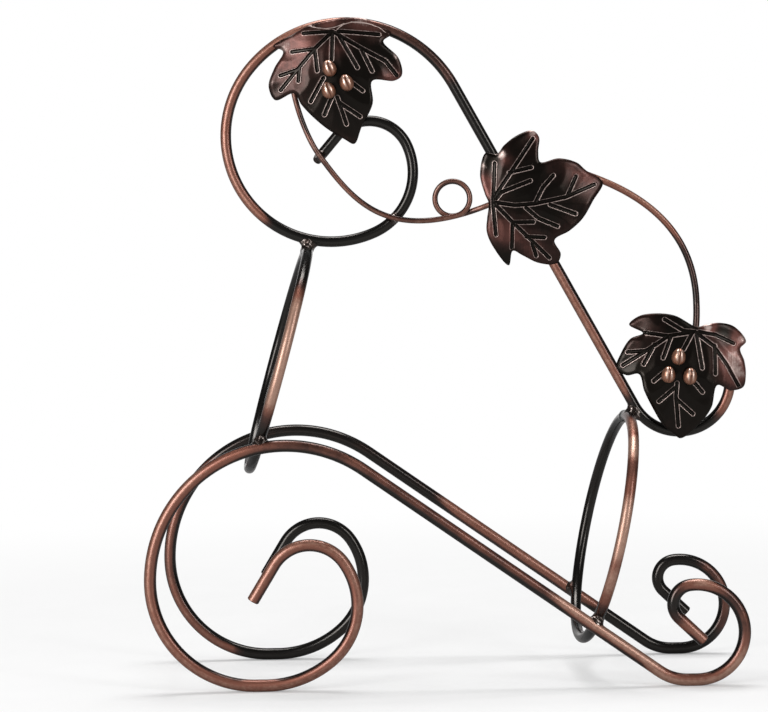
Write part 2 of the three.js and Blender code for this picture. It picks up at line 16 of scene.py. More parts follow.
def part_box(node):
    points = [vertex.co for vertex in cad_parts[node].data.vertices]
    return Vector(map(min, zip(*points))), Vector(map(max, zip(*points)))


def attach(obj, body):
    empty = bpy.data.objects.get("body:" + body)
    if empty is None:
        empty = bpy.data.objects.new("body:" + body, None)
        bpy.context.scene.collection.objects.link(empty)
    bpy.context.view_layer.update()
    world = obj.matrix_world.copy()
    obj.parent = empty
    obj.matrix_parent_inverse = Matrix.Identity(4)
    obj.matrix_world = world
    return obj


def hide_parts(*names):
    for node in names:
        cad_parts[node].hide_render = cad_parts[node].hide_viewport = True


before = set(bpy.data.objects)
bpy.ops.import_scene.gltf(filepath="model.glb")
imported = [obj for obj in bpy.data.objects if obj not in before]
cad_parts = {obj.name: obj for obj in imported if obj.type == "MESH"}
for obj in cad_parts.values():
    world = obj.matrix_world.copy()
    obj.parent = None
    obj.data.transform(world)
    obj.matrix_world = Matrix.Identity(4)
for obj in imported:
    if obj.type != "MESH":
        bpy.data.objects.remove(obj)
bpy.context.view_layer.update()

MM = 0.001

# Rod stock, as in the part
SIDE_ROD_DIAMETER = 5
RING_ROD_DIAMETER = 4.5
HANDLE_ROD_DIAMETER = 4.5
TENDRIL_DIAMETER = 2.3
STEM_DIAMETER = 2.8
SEAT_GAP = 0.3

# Side rods
FOOT_SPACING = 174.5
FOOT_FLAT_LENGTH = 4
CREST_RADIUS = 55.3
LOW_RADIUS = 42.1
INNER_RADIUS = 29.9
INNER_START_ANGLE = -50
HOOK_RADIUS = 16.9
HOOK_START_ANGLE = 34
HOOK_END_ANGLE = 150
HOOK_TAIL = 16.5
SMALL_RADIUS = 19.3
SMALL_CURL_RADIUS = 7.8
SMALL_CURL_START_ANGLE = 98
SMALL_CURL_END_ANGLE = 229.7
SMALL_TAIL = 13.3

# Rings
RING_INNER_DIAMETER = 89.5
RING_RADIUS = (RING_INNER_DIAMETER + RING_ROD_DIAMETER) / 2
RING_TURN_ANGLE = 4.8
RING_LEAN_ANGLES = {"neck_ring": 16.2, "body_ring": 13}

# Handle
LOOP_RADIUS = 43.8
LOOP_SEAT_ANGLE = 77
CROWN_RADIUS = 51.5
CROWN_START_ANGLE = 141.4
LOOP_INNER_RADIUS = 27.2
LOOP_INNER_START_ANGLE = -67
CURL_RADIUS = 17.3
CURL_START_ANGLE = 23.5
CURL_END_ANGLE = 140.8
CURL_TAIL = 10.7
HANDLE_HOOK_RADIUS = 21.1
HANDLE_HOOK_SEAT_ANGLE = 33.9
HANDLE_HOOK_END_ANGLE = 20

# Leaves
LEAF_THICKNESS = 1.4
LEAF_CUP_RADIUS = 100
UPPER_LEAF_ANGLE = 95.2
UPPER_LEAF_DROP = 4.1
UPPER_LEAF_CROWN = (2.7, -17.2)
MIDDLE_LEAF_DOWN = 58
MIDDLE_LEAF_ROOT = (-13.9, 2)
LOWER_LEAF_ROOT = (6.6, 21)

# Tendril and stem
TENDRIL_START = (-17.3, -19.6)
TENDRIL_START_ANGLE = -85
TENDRIL_START_PULL = 8
TENDRIL_TAIL_INSET = 0.3
TENDRIL_TAIL_ANGLE = -55
TENDRIL_TAIL_PULL = 11
TENDRIL_LOOP_FOOT = (-13.6, -4.8)
TENDRIL_LOOP_ANGLE = 13
TENDRIL_LEAD_PULL = 22
TENDRIL_END_PULL = 32
TENDRIL_END_BEND_ANGLE = 8
TENDRIL_LOOP_RADIUS = 7.2
TENDRIL_LOOP_PITCH = TENDRIL_DIAMETER + 0.5
TENDRIL_END = (6, 1.8)
STEM_START = (33, 13.6)
STEM_START_ANGLE = -16.6
STEM_START_PULL = 22.5
STEM_END = (-0.6, -5.8)
STEM_END_ANGLE = -101.7
STEM_END_PULL = 52.2

# How finely the meshes are cut
ROD_STEP = 1.0
TENDRIL_STEP = 0.6
STEM_STEP = 0.8
ROD_SIDES = 32
WIRE_SIDES = 20


# Places in an upright plane are arrays of x and the height z
def around(centre, radius, degrees):
    angle = np.radians(degrees)
    return np.stack([centre[0] + radius * np.cos(angle), centre[1] + radius * np.sin(angle)], axis=-1)


def cross_tangent(first, first_radius, second, second_radius):
    """The angle at which a straight leaves one circle over its top to pass under the next."""
    apart = second - first
    swing = math.acos((first_radius + second_radius) / math.hypot(*apart))
    return math.degrees(math.atan2(apart[1], apart[0]) + swing)


def bend(centre, radius, start, end):
    count = max(2, math.ceil(math.radians(abs(end - start)) * radius / ROD_STEP))
    return around(centre, radius, np.linspace(start, end, count + 1))


def tail(run, length):
    """A run with a straight before its first place."""
    away = run[0] - run[1]
    return np.vstack([run[0] + away / np.hypot(*away) * length, run])


def bezier(points, steps):
    t = np.linspace(0, 1, steps + 1)[:, None]
    a, b, c, d = (np.asarray(point, float) for point in points)
    return a * (1 - t) ** 3 + 3 * b * t * (1 - t) ** 2 + 3 * c * t**2 * (1 - t) + d * t**3


def smoothstep(value, low, high):
    t = np.clip((value - low) / (high - low), 0, 1)
    return t * t * (3 - 2 * t)


def hump(away, width):
    return np.exp(-((away / width) ** 2))


def lengths_along(line):
    return np.concatenate([[0], np.cumsum(np.linalg.norm(np.diff(line, axis=0), axis=1))])


def evenly(line, spacing=ROD_STEP):
    """The same line with places a spacing apart."""
    line = np.asarray(line, float)
    keep = np.concatenate([[True], np.linalg.norm(np.diff(line, axis=0), axis=1) > 1e-6])
    line = line[keep]
    along = lengths_along(line)
    targets = np.linspace(0, along[-1], max(2, math.ceil(along[-1] / spacing)) + 1)
    return np.stack([np.interp(targets, along, column) for column in line.T], axis=-1)


def at_depth(places, depth):
    depth = np.broadcast_to(depth, len(places))
    return np.stack([places[:, 0], depth, places[:, 1]], axis=-1)


def node_box(name):
    low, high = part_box(name)
    return np.array(low) / MM, np.array(high) / MM


def node_middle(name):
    low, high = node_box(name)
    return (low + high) / 2


# Centre lines of the side rods
def side_rod_line(name):
    low, _ = node_box(name)
    low_centre = np.array([low[0], 0]) + SIDE_ROD_DIAMETER / 2 + LOW_RADIUS
    low_past_foot = low_centre + [FOOT_FLAT_LENGTH, 0]
    crest_centre = low_centre + [CREST_RADIUS - LOW_RADIUS, 0]
    inner_centre = around(low_past_foot, LOW_RADIUS - INNER_RADIUS, INNER_START_ANGLE)
    hook_centre = around(inner_centre, INNER_RADIUS - HOOK_RADIUS, HOOK_START_ANGLE)
    small_centre = np.array([low_centre[0] + FOOT_SPACING, SIDE_ROD_DIAMETER / 2 + SMALL_RADIUS])
    small_past_foot = small_centre + [FOOT_FLAT_LENGTH, 0]
    small_curl_centre = around(small_past_foot, SMALL_RADIUS - SMALL_CURL_RADIUS, SMALL_CURL_START_ANGLE)
    slope_angle = cross_tangent(crest_centre, CREST_RADIUS, small_centre, SMALL_RADIUS)
    curl = bend(small_curl_centre, SMALL_CURL_RADIUS, SMALL_CURL_END_ANGLE, SMALL_CURL_START_ANGLE)
    places = np.vstack([
        tail(bend(hook_centre, HOOK_RADIUS, HOOK_END_ANGLE, HOOK_START_ANGLE), HOOK_TAIL),
        bend(inner_centre, INNER_RADIUS, HOOK_START_ANGLE, INNER_START_ANGLE),
        bend(low_past_foot, LOW_RADIUS, INNER_START_ANGLE, -90),
        bend(low_centre, LOW_RADIUS, -90, -180),
        bend(crest_centre, CREST_RADIUS, 180, slope_angle),
        bend(small_centre, SMALL_RADIUS, slope_angle - 180, -90),
        bend(small_past_foot, SMALL_RADIUS, -90, SMALL_CURL_START_ANGLE),
        tail(curl, SMALL_TAIL)[::-1],
    ])
    return evenly(at_depth(places, node_middle(name)[1]))


# Rings: a ring's line runs from its top over the front to the rear
def ring_axes(name):
    lean, turn = math.radians(RING_LEAN_ANGLES[name]), math.radians(RING_TURN_ANGLE)
    up = np.array([math.sin(lean), 0, math.cos(lean)])
    across = np.array([-math.cos(lean) * math.sin(turn), math.cos(turn), math.sin(lean) * math.sin(turn)])
    return up, across


def ring_line(name):
    up, across = ring_axes(name)
    count = round(2 * math.pi * RING_RADIUS / ROD_STEP)
    angle = np.linspace(0, 2 * math.pi, count, endpoint=False)
    return node_middle(name) + RING_RADIUS * (np.outer(np.cos(angle), up) - np.outer(np.sin(angle), across))


def ring_top(name):
    up, _ = ring_axes(name)
    return (node_middle(name) + RING_RADIUS * up)[[0, 2]]


# Handle
handle_seat = (RING_ROD_DIAMETER + HANDLE_ROD_DIAMETER) / 2 + SEAT_GAP
loop_centre = around(ring_top("neck_ring"), LOOP_RADIUS + handle_seat, LOOP_SEAT_ANGLE)
crown_centre = around(loop_centre, LOOP_RADIUS - CROWN_RADIUS, CROWN_START_ANGLE)
loop_inner_centre = around(loop_centre, LOOP_RADIUS - LOOP_INNER_RADIUS, LOOP_INNER_START_ANGLE)
curl_centre = around(loop_inner_centre, LOOP_INNER_RADIUS - CURL_RADIUS, CURL_START_ANGLE)
handle_hook_centre = around(ring_top("body_ring"), HANDLE_HOOK_RADIUS + handle_seat, HANDLE_HOOK_SEAT_ANGLE)
crown_end = cross_tangent(crown_centre, CROWN_RADIUS, handle_hook_centre, HANDLE_HOOK_RADIUS)
handle_depth = node_middle("handle_rod")[1]


def handle_line():
    places = np.vstack([
        tail(bend(curl_centre, CURL_RADIUS, CURL_END_ANGLE, CURL_START_ANGLE), CURL_TAIL),
        bend(loop_inner_centre, LOOP_INNER_RADIUS, CURL_START_ANGLE, LOOP_INNER_START_ANGLE),
        bend(loop_centre, LOOP_RADIUS, LOOP_INNER_START_ANGLE, CROWN_START_ANGLE - 360),
        bend(crown_centre, CROWN_RADIUS, CROWN_START_ANGLE, crown_end),
        bend(handle_hook_centre, HANDLE_HOOK_RADIUS, crown_end - 180, HANDLE_HOOK_END_ANGLE),
    ])
    return evenly(at_depth(places, handle_depth))


# Leaves: outline, veins and marks, from the root where the veins meet. A spot is x, z, radius, strength: bends go
# back from the camera; the lighter spots are the copper that shows through together with painted light on lobes that
# face the lamps, the darker spots the patina left on together with painted shade on lobes that turn away, and the
# bright spots painted highlights where the sheet would shine. Folds are raised lines, painted bright like the rims of
# the veins as highlights
UPPER_LEAF = {
    "outline": [
        (-25, -5), (-20.8, -7.3), (-24.6, -14.2), (-27.1, -21.6), (-24.4, -27.3), (-16.3, -24.7), (-13.5, -29.5),
        (-4.5, -38.5), (4, -44), (8, -45.9), (11.2, -39), (16, -29.5), (16, -20.3), (25, -20.3), (28.2, -18),
        (27, -11), (20.8, -4), (24, -1), (14.5, 5), (7, 6), (-8.5, 3.5), (-17, -0.5),
    ],
    "veins": [
        [(0, 0.3), (-12, -0.2)], [(0, 0.3), (-7.5, -6.7), (-14, -14.2), (-22, -23.3)],
        [(-7.5, -6.7), (-17, -7.7)], [(-7.5, -6.7), (-6.5, -15.8)], [(-14, -14.2), (-14.5, -19.8)],
        [(-14, -14.8), (-22, -17.3)], [(0, 0.3), (-0.5, -11.2)], [(1.5, -26.8), (5, -37.8)],
        [(2, -28.8), (10.7, -34.8)], [(-0.5, -26.3), (-4, -33.8)], [(-4, -18.8), (-9.5, -28.3)],
        [(7.5, -20.8), (12, -24.3)], [(2.5, -1.2), (10, -14.8)],
        [(0, 0.3), (5, -2.7), (11.5, -6.7), (21.5, -12.2), (26.5, -18.7)], [(11.5, -6.7), (16, -16.3)],
        [(2.5, 0.3), (19, -1.2)],
    ],
    "bends": [(-22, -6, 8, 1.2), (22, 0, 8, 1.0), (26, -18, 6, 0.8), (8, -42, 7, 0.8), (-24, -24, 6, 0.8)],
    "blush_and_light": [
        (-18, -12, 13, 0.45), (-10, -2, 8, 0.35), (-1.5, 4.4, 4, 0.9), (14, 3, 9, 0.7), (24, -20, 6, 0.9),
        (2, -7, 5, 0.5),
    ],
    "patina_and_shade": [(6, -22, 15, 1), (18, -8, 8, 0.8), (0, 0, 4, 0.8)],
    "rubbed_and_sheen": [
        (-18, 0.5, 3, 0.6), (-20, -6, 2.5, 0.5), (0, 4.2, 2, 0.2), (12, 4.8, 4, 0.5), (26, -10, 2.5, 0.5),
        (-26, -20, 3, 0.35), (-1.5, 4, 2.5, 0.15),
    ],
    "folds": [
        [(-10, 2.9), (-6, 1.9), (-2.7, 1.5), (0.5, 1.9), (3, 2.7), (4.8, 3.5)],
        [(2, 1.2), (3.2, 2.2), (4.8, 3.2), (8, 4.0), (12, 3.8), (15.5, 3.1), (19.3, 1.6), (21.6, -0.3)],
    ],
}
MIDDLE_LEAF = {
    "outline": [
        (-0.3, 0), (-1, -6), (-1.3, -11.5), (1, -17.5), (7.7, -25.8), (9.4, -19.8), (13.5, -21.8), (20, -25),
        (27.5, -25.4), (29.3, -21.5), (26.7, -15.7), (33, -11.9), (38.5, -7), (43, 0.3), (47.3, 8), (40.2, 13),
        (36.5, 16.2), (29, 18.1), (21.3, 16.7), (20.6, 21), (21.1, 27), (18.5, 29.8), (12.5, 28.2), (6.5, 23.9),
        (3.5, 20.4), (-1.2, 20.9), (-3.6, 12), (-1.8, 4),
    ],
    "veins": [
        [(1.5, 0.5), (2, 7.5), (2.5, 16.5)], [(2, 2.5), (9, 12.5), (18.5, 26.5)], [(8.5, 12.5), (17.5, 14.5)],
        [(3, 2), (5, 4.5), (17, 9)], [(1.5, 0.5), (10.5, -1), (18.5, -0.5), (31.5, 2), (43.5, 7)],
        [(19, 0), (22, 6), (26.5, 11)], [(32.5, 3), (36, 10.5)], [(15, -2), (20, -6.5), (28, -10)],
        [(25, -1), (35.5, -5)], [(2.5, -0.5), (9.5, -8), (18, -16.5), (24.5, -23)], [(9.5, -8), (18, -8)],
        [(9.5, -8), (9, -18.5)], [(15, -14), (22.5, -14.5)], [(17.5, -17), (19, -22)], [(1.5, -0.5), (2.5, -13)],
    ],
    "bends": [(-3, 12, 7, 1.6), (19, 28, 6, 1.0), (7, -25, 6, 1.2), (45, 7, 8, 0.8), (27, -25, 6, 0.8)],
    "blush_and_light": [
        (-2, 7, 5, 1), (37, 13, 7, 0.3), (30, 16, 6, 0.15), (3, -10, 7, 0.55), (18, -20, 9, 0.45),
        (19, 28, 3, 0.8), (7, 18, 3, 0.6), (42, 8, 5, 0.4), (10, -12, 5, 0.4), (14, -3, 5, 0.3),
    ],
    "patina_and_shade": [(2, 18, 4, 1), (17, 2, 12, 0.8), (8, -24, 5, 0.8)],
    "rubbed_and_sheen": [
        (5.6, 20, 2.3, 0.75), (-2.5, 15.5, 2.6, 0.45), (18.5, 29, 2, 0.7), (-2.5, 8, 2, 0.4),
        (-0.5, -4, 1.5, 0.4),
    ],
}
LOWER_LEAF = {
    "outline": [
        (0.8, 1.5), (-8.2, 6.3), (-16.5, 7.3), (-23, 6.2), (-27, 2.7), (-21.5, -0.8), (-26.6, -3), (-30.5, -8.7),
        (-32.6, -15.3), (-28.5, -18.2), (-23.5, -17.7), (-21.5, -24.5), (-18.2, -31.5), (-14, -38.7), (-9.3, -43),
        (-6.4, -44.8), (1.6, -38.5), (6.3, -32), (8.8, -22.8), (14.4, -25.2), (19.9, -24), (21, -19.3),
        (20.4, -13), (18.9, -8.1), (21.5, -5.1), (16.5, 1.2), (10.5, 2.9), (5, 2.4),
    ],
    "veins": [
        [(0, -0.5), (-5, 0), (-12.5, 4.8)], [(0, -0.5), (-11, -2), (-18, -6.5), (-30, -14)],
        [(-11.5, -2), (-21, -0.5)], [(-10, -2), (-13.5, -11)], [(-20.5, -8), (-28, -8.5)],
        [(-17, -5.5), (-21.5, -13.5)], [(-1, -0.5), (-5, -7.5)], [(-8, -21.5), (-8.5, -27), (-7.5, -39.5)],
        [(-9, -23.5), (-15.5, -29)], [(-8, -28.5), (-1.5, -34.5)], [(-11.5, -15.5), (-17.5, -20.5)],
        [(-2.5, -19.5), (2.5, -25.5)], [(0.5, -2), (2.5, -15.5)],
        [(0.5, -1), (7.5, -6.5), (13, -14.5), (18, -23.7)], [(8, -6.5), (8, -18)],
        [(1.5, -0.5), (8.5, -2), (16, -5.7)],
    ],
    "bends": [(-26, 2, 7, 1.2), (20, -5, 8, 1.4), (18, -24, 7, 1.2), (-32, -16, 7, 1.2), (-7, -44, 7, 0.6)],
    "blush_and_light": [
        (16, -10, 8, 0.9), (16, -19, 7, 0.8), (6, 1, 4, 1), (19, -3, 4, 0.8), (-22, 2, 9, 0.2),
        (-25, -12, 8, 0.1),
    ],
    "patina_and_shade": [(-6, -24, 18, 1), (-4, -2, 7, 0.8), (-29, -14, 5, 1), (11, -0.5, 2.8, 1.2), (14, -5, 2.5, 1)],
    "rubbed_and_sheen": [
        (5.3, 1.3, 1.8, 1), (20, -4, 2.2, 0.6), (15.5, -11, 4.5, 0.5), (16.5, -17, 3.5, 0.5), (19, -19, 3, 0.3),
    ],
}
OUTLINE_CUTS = 8
PLAIN_SPACING = 0.6
FINE_SPACING = 0.21
FINE_BAND = 1.7
SHEET_THICKNESS = 1.1
EDGE_RINGS = (0.12, 0.3, 0.55)
EDGE_RADIUS = 0.55
GROOVE_HALF_WIDTH = 0.62
GROOVE_DEPTH = 0.6
RIM_OFFSET = 0.93
RIM_WIDTH = 0.17
RIM_HEIGHT = 0.12
RIM_LIT_SIDE = (0.5, -0.87)
RIM_LIT_SHARE = 0.16
FOLD_WIDTH = 0.2
FOLD_HIGHLIGHT = 1.1
PILLOW_HEIGHT = 0.5
PILLOW_REACH = (1.0, 7.0)
EDGE_ROLL = 0.5
EDGE_ROLL_WIDTH = 2.2
WAVE_DEPTH = 0.35
WAVE_SIZE = 26
SHEET_DARK = 0.7
GROOVE_DARK = 0.6
PATINA_AND_SHADE_DARK = 0.3
BLUSH_AND_LIGHT_CLEARS = 0.65
EDGE_WORN = 0.3
BLUSH_AND_LIGHT_DULLS = 0.35
BACK_WORN = 0.4
FULLEST = 1.2


def rounded_outline(points):
    """A closed centripetal Catmull-Rom curve through the points."""
    points = np.asarray(points, float)
    places = []
    for i in range(len(points)):
        p = [points[(i + k - 1) % len(points)] for k in range(4)]
        t = np.cumsum([0] + [math.sqrt(np.hypot(*(p[k + 1] - p[k]))) for k in range(3)])
        for u in np.linspace(t[1], t[2], OUTLINE_CUTS, endpoint=False):
            a = [((t[k + 1] - u) * p[k] + (u - t[k]) * p[k + 1]) / (t[k + 1] - t[k]) for k in range(3)]
            b = [((t[k + 2] - u) * a[k] + (u - t[k]) * a[k + 1]) / (t[k + 2] - t[k]) for k in range(2)]
            places.append(((t[2] - u) * b[0] + (u - t[1]) * b[1]) / (t[2] - t[1]))
    return np.array(places)


def distance_to_segments(places, starts, ends):
    best = np.full(len(places), np.inf)
    for start, end in zip(starts, ends):
        run = end - start
        share = np.clip((places - start) @ run / max(run @ run, 1e-12), 0, 1)
        best = np.minimum(best, np.linalg.norm(places - start - share[:, None] * run, axis=1))
    return best


def distance_to_lines(places, lines):
    starts = [start for line in lines for start in line[:-1]]
    return distance_to_segments(places, starts, [end for line in lines for end in line[1:]])


def inside(outline, places):
    odd = np.zeros(len(places), bool)
    for corner, last in zip(outline, np.roll(outline, 1, axis=0)):
        crosses = (corner[1] > places[:, 1]) != (last[1] > places[:, 1])
        if corner[1] == last[1]:
            continue
        crossing = corner[0] + (last[0] - corner[0]) * (places[:, 1] - corner[1]) / (last[1] - corner[1])
        odd ^= crosses & (places[:, 0] < crossing)
    return odd


def hex_grid(low, high, spacing):
    rows = np.arange(low[1], high[1], spacing * math.sqrt(3) / 2)
    columns = np.arange(low[0], high[0], spacing)
    grid = [np.stack([columns + spacing / 2 * (i % 2), np.full(len(columns), z)], -1) for i, z in enumerate(rows)]
    return np.vstack(grid)


def ripple(places, size, seed):
    """Gentle uneven waves of about a size, between -1 and 1."""
    total = np.zeros(len(places))
    for k in range(5):
        angle = seed + 2.4 * k
        wave = 2 * math.pi / size * (0.7 + 0.17 * k)
        total += np.sin(places @ (np.array([math.cos(angle), math.sin(angle)]) * wave) + 1.7 * k * seed)
    return total / 5


def spots(places, marks):
    total = np.zeros(len(places))
    for x, z, radius, strength in marks:
        away = np.linalg.norm(places - [x, z], axis=1)
        total += strength * hump(away, radius)
    return total


class Leaf:
    def __init__(self, name, marks, root, crown):
        self.name = name
        self.marks = marks
        self.root = root
        self.crown = crown
        self.outline = rounded_outline(marks["outline"]) + root
        self.veins = [np.asarray(vein) + root for vein in marks["veins"]]
        self.folds = [np.asarray(fold) + root for fold in marks.get("folds", [])]
        self.reach = np.linalg.norm(self.outline - crown, axis=1).max()
        self.seat = node_box(name)[0][1] + LEAF_THICKNESS

    def back(self, places):
        """Depth of the solid leaf's back, which also seats the tendril and the stem."""
        away = np.minimum(np.linalg.norm(places - self.crown, axis=-1), self.reach)
        return self.seat + away**2 / (2 * LEAF_CUP_RADIUS)

    def vein_distance(self, places):
        return distance_to_lines(places, self.veins)

    def edge_distance(self, places):
        return distance_to_segments(places, self.outline, np.roll(self.outline, -1, axis=0))


slope_top = around(crown_centre, CROWN_RADIUS, crown_end)
middle_crown = around(slope_top, MIDDLE_LEAF_DOWN, crown_end - 90)
upper_root = around(crown_centre, CROWN_RADIUS - UPPER_LEAF_DROP, UPPER_LEAF_ANGLE)
upper_leaf = Leaf("upper_leaf", UPPER_LEAF, upper_root, upper_root + UPPER_LEAF_CROWN)
middle_leaf = Leaf("middle_leaf", MIDDLE_LEAF, middle_crown + MIDDLE_LEAF_ROOT, middle_crown)
lower_leaf = Leaf("lower_leaf", LOWER_LEAF, handle_hook_centre + LOWER_LEAF_ROOT, handle_hook_centre)


# Tendril and stem: the cuts of their curves, and the shares of a curve between which its depth changes
in_front = handle_depth - (HANDLE_ROD_DIAMETER + TENDRIL_DIAMETER) / 2 - SEAT_GAP
TAIL_CUTS, LEAD_CUTS, LOOP_CUTS, END_CUTS, STEM_CUTS = 40, 90, 72, 20, 120
COMES_FORWARD = (0.3, 0.9)
GOES_BEHIND = (0, 0.6)
STEM_CROSSES = (0.2, 0.85)


def behind(leaf, places, diameter):
    return leaf.back(places) + SEAT_GAP + diameter / 2


def tendril_line(handle):
    start = upper_leaf.root + TENDRIL_START
    foot = middle_leaf.root + TENDRIL_LOOP_FOOT
    end = middle_leaf.root + TENDRIL_END
    ahead = handle[1] - handle[0]
    crossing = (handle[0] + ahead / np.linalg.norm(ahead) * TENDRIL_TAIL_INSET)[[0, 2]]
    after = around(start, TENDRIL_START_PULL, TENDRIL_START_ANGLE)
    before = around(crossing, -TENDRIL_TAIL_PULL, TENDRIL_TAIL_ANGLE)
    to_tail = bezier([start, after, before, crossing], TAIL_CUTS)
    hidden = behind(upper_leaf, to_tail, TENDRIL_DIAMETER)
    forward = smoothstep(np.linspace(0, 1, len(to_tail)), *COMES_FORWARD)
    after = around(crossing, TENDRIL_LEAD_PULL, TENDRIL_TAIL_ANGLE)
    before = around(foot, -TENDRIL_END_PULL, TENDRIL_LOOP_ANGLE)
    lead = bezier([crossing, after, before, foot], LEAD_CUTS)
    centre = around(foot, TENDRIL_LOOP_RADIUS, TENDRIL_LOOP_ANGLE + 90)
    turn = np.linspace(0, 1, LOOP_CUTS + 1)
    loop = around(centre, TENDRIL_LOOP_RADIUS, TENDRIL_LOOP_ANGLE - 90 + 360 * turn)
    third = np.hypot(*(end - foot)) / 3
    after = around(foot, third, TENDRIL_LOOP_ANGLE)
    before = around(after, third, TENDRIL_LOOP_ANGLE + TENDRIL_END_BEND_ANGLE)
    last = bezier([foot, after, before, end], END_CUTS)
    leaving = smoothstep(np.linspace(0, 1, len(last)), *GOES_BEHIND)
    loop_end = in_front + TENDRIL_LOOP_PITCH
    rest = behind(middle_leaf, last, TENDRIL_DIAMETER)
    return evenly(np.vstack([
        at_depth(to_tail, hidden + (in_front - hidden) * forward),
        at_depth(lead, in_front),
        at_depth(loop, in_front + TENDRIL_LOOP_PITCH * turn),
        at_depth(last, loop_end + (rest - loop_end) * leaving),
    ]), TENDRIL_STEP)


def stem_line():
    start = middle_leaf.root + STEM_START
    end = lower_leaf.root + STEM_END
    after = around(start, STEM_START_PULL, STEM_START_ANGLE)
    before = around(end, -STEM_END_PULL, STEM_END_ANGLE)
    places = bezier([start, after, before, end], STEM_CUTS)
    share = smoothstep(np.linspace(0, 1, len(places)), *STEM_CROSSES)
    first = behind(middle_leaf, places, STEM_DIAMETER)
    last = behind(lower_leaf, places, STEM_DIAMETER)
    return evenly(at_depth(places, first + (last - first) * share), STEM_STEP)


def add_object(name, data):
    made = bpy.data.objects.new(name, data)
    bpy.context.scene.collection.objects.link(made)
    return made


# Meshes. Every piece carries mm_place, its own straightened place in millimetres, and the finish masks dark, the
# patina left on together with painted shade, and the bright mask, the copper where the patina wore away together with
# painted highlights and glints
def add_piece(name, vertices, faces, place, dark, wear_and_highlight, material, sharp=None):
    mesh = bpy.data.meshes.new(name)
    mesh.from_pydata((vertices * MM).tolist(), [], faces)
    mesh.attributes.new("mm_place", "FLOAT_VECTOR", "POINT").data.foreach_set("vector", np.ravel(place))
    for key, values in (("dark", dark), ("wear_and_highlight", wear_and_highlight)):
        values = np.full(len(vertices), values, np.float32)
        mesh.attributes.new(key, "FLOAT", "POINT").data.foreach_set("value", values)
    mesh.materials.append(material)
    mesh.shade_smooth()
    if sharp:
        mesh.set_sharp_from_angle(angle=math.radians(sharp))
    return add_object(name, mesh)


def directions(line, closed=False):
    if closed:
        heading = np.roll(line, -1, axis=0) - np.roll(line, 1, axis=0)
    else:
        heading = np.gradient(line, axis=0)
    return heading / np.linalg.norm(heading, axis=1)[:, None]


def carried_normals(heading, first):
    """A normal carried along the line without twist."""
    normals = [first]
    for direction in heading:
        normal = normals[-1] - direction * (normals[-1] @ direction)
        normals.append(normal / np.linalg.norm(normal))
    return np.array(normals[1:])


def ring_faces(rings, sides, closed=False):
    faces = []
    for i in range(rings if closed else rings - 1):
        below, above = i * sides, (i + 1) % rings * sides
        for k in range(sides):
            after = (k + 1) % sides
            faces.append((above + k, above + after, below + after, below + k))
    return faces


CHAMFER = 0.35
SHARP_ANGLE = 40
INNER_PATINA_AND_SHADE = 0.7
INNER_EDGE = (0.25, 0.95)
OUTER_SHARE = 0.7
OUTER_EDGE = (0.7, 1.0)
WORN_EDGE = (-0.2, 0.7)
STRAIGHT_WIDENING = 0.3
WIDEST_BEND = 60
BEND_SPREAD = 7


def bend_side(line, heading):
    """The direction to the inner side of the bend at each place, nearly nothing on a straight. It is
    spread along the line, so that a short flat in a bend keeps the bend's side."""
    turn = np.gradient(heading, axis=0) / np.maximum(np.gradient(lengths_along(line)), 1e-6)[:, None]
    size = np.linalg.norm(turn, axis=1)[:, None]
    side = turn / np.maximum(size, 1e-9) * np.clip(size * WIDEST_BEND, 0, 1) ** 2
    padded = np.pad(side, ((BEND_SPREAD, BEND_SPREAD), (0, 0)), mode="edge")
    window = np.full(2 * BEND_SPREAD + 1, 1 / (2 * BEND_SPREAD + 1))
    return np.stack([np.convolve(column, window, mode="valid") for column in padded.T], axis=-1)


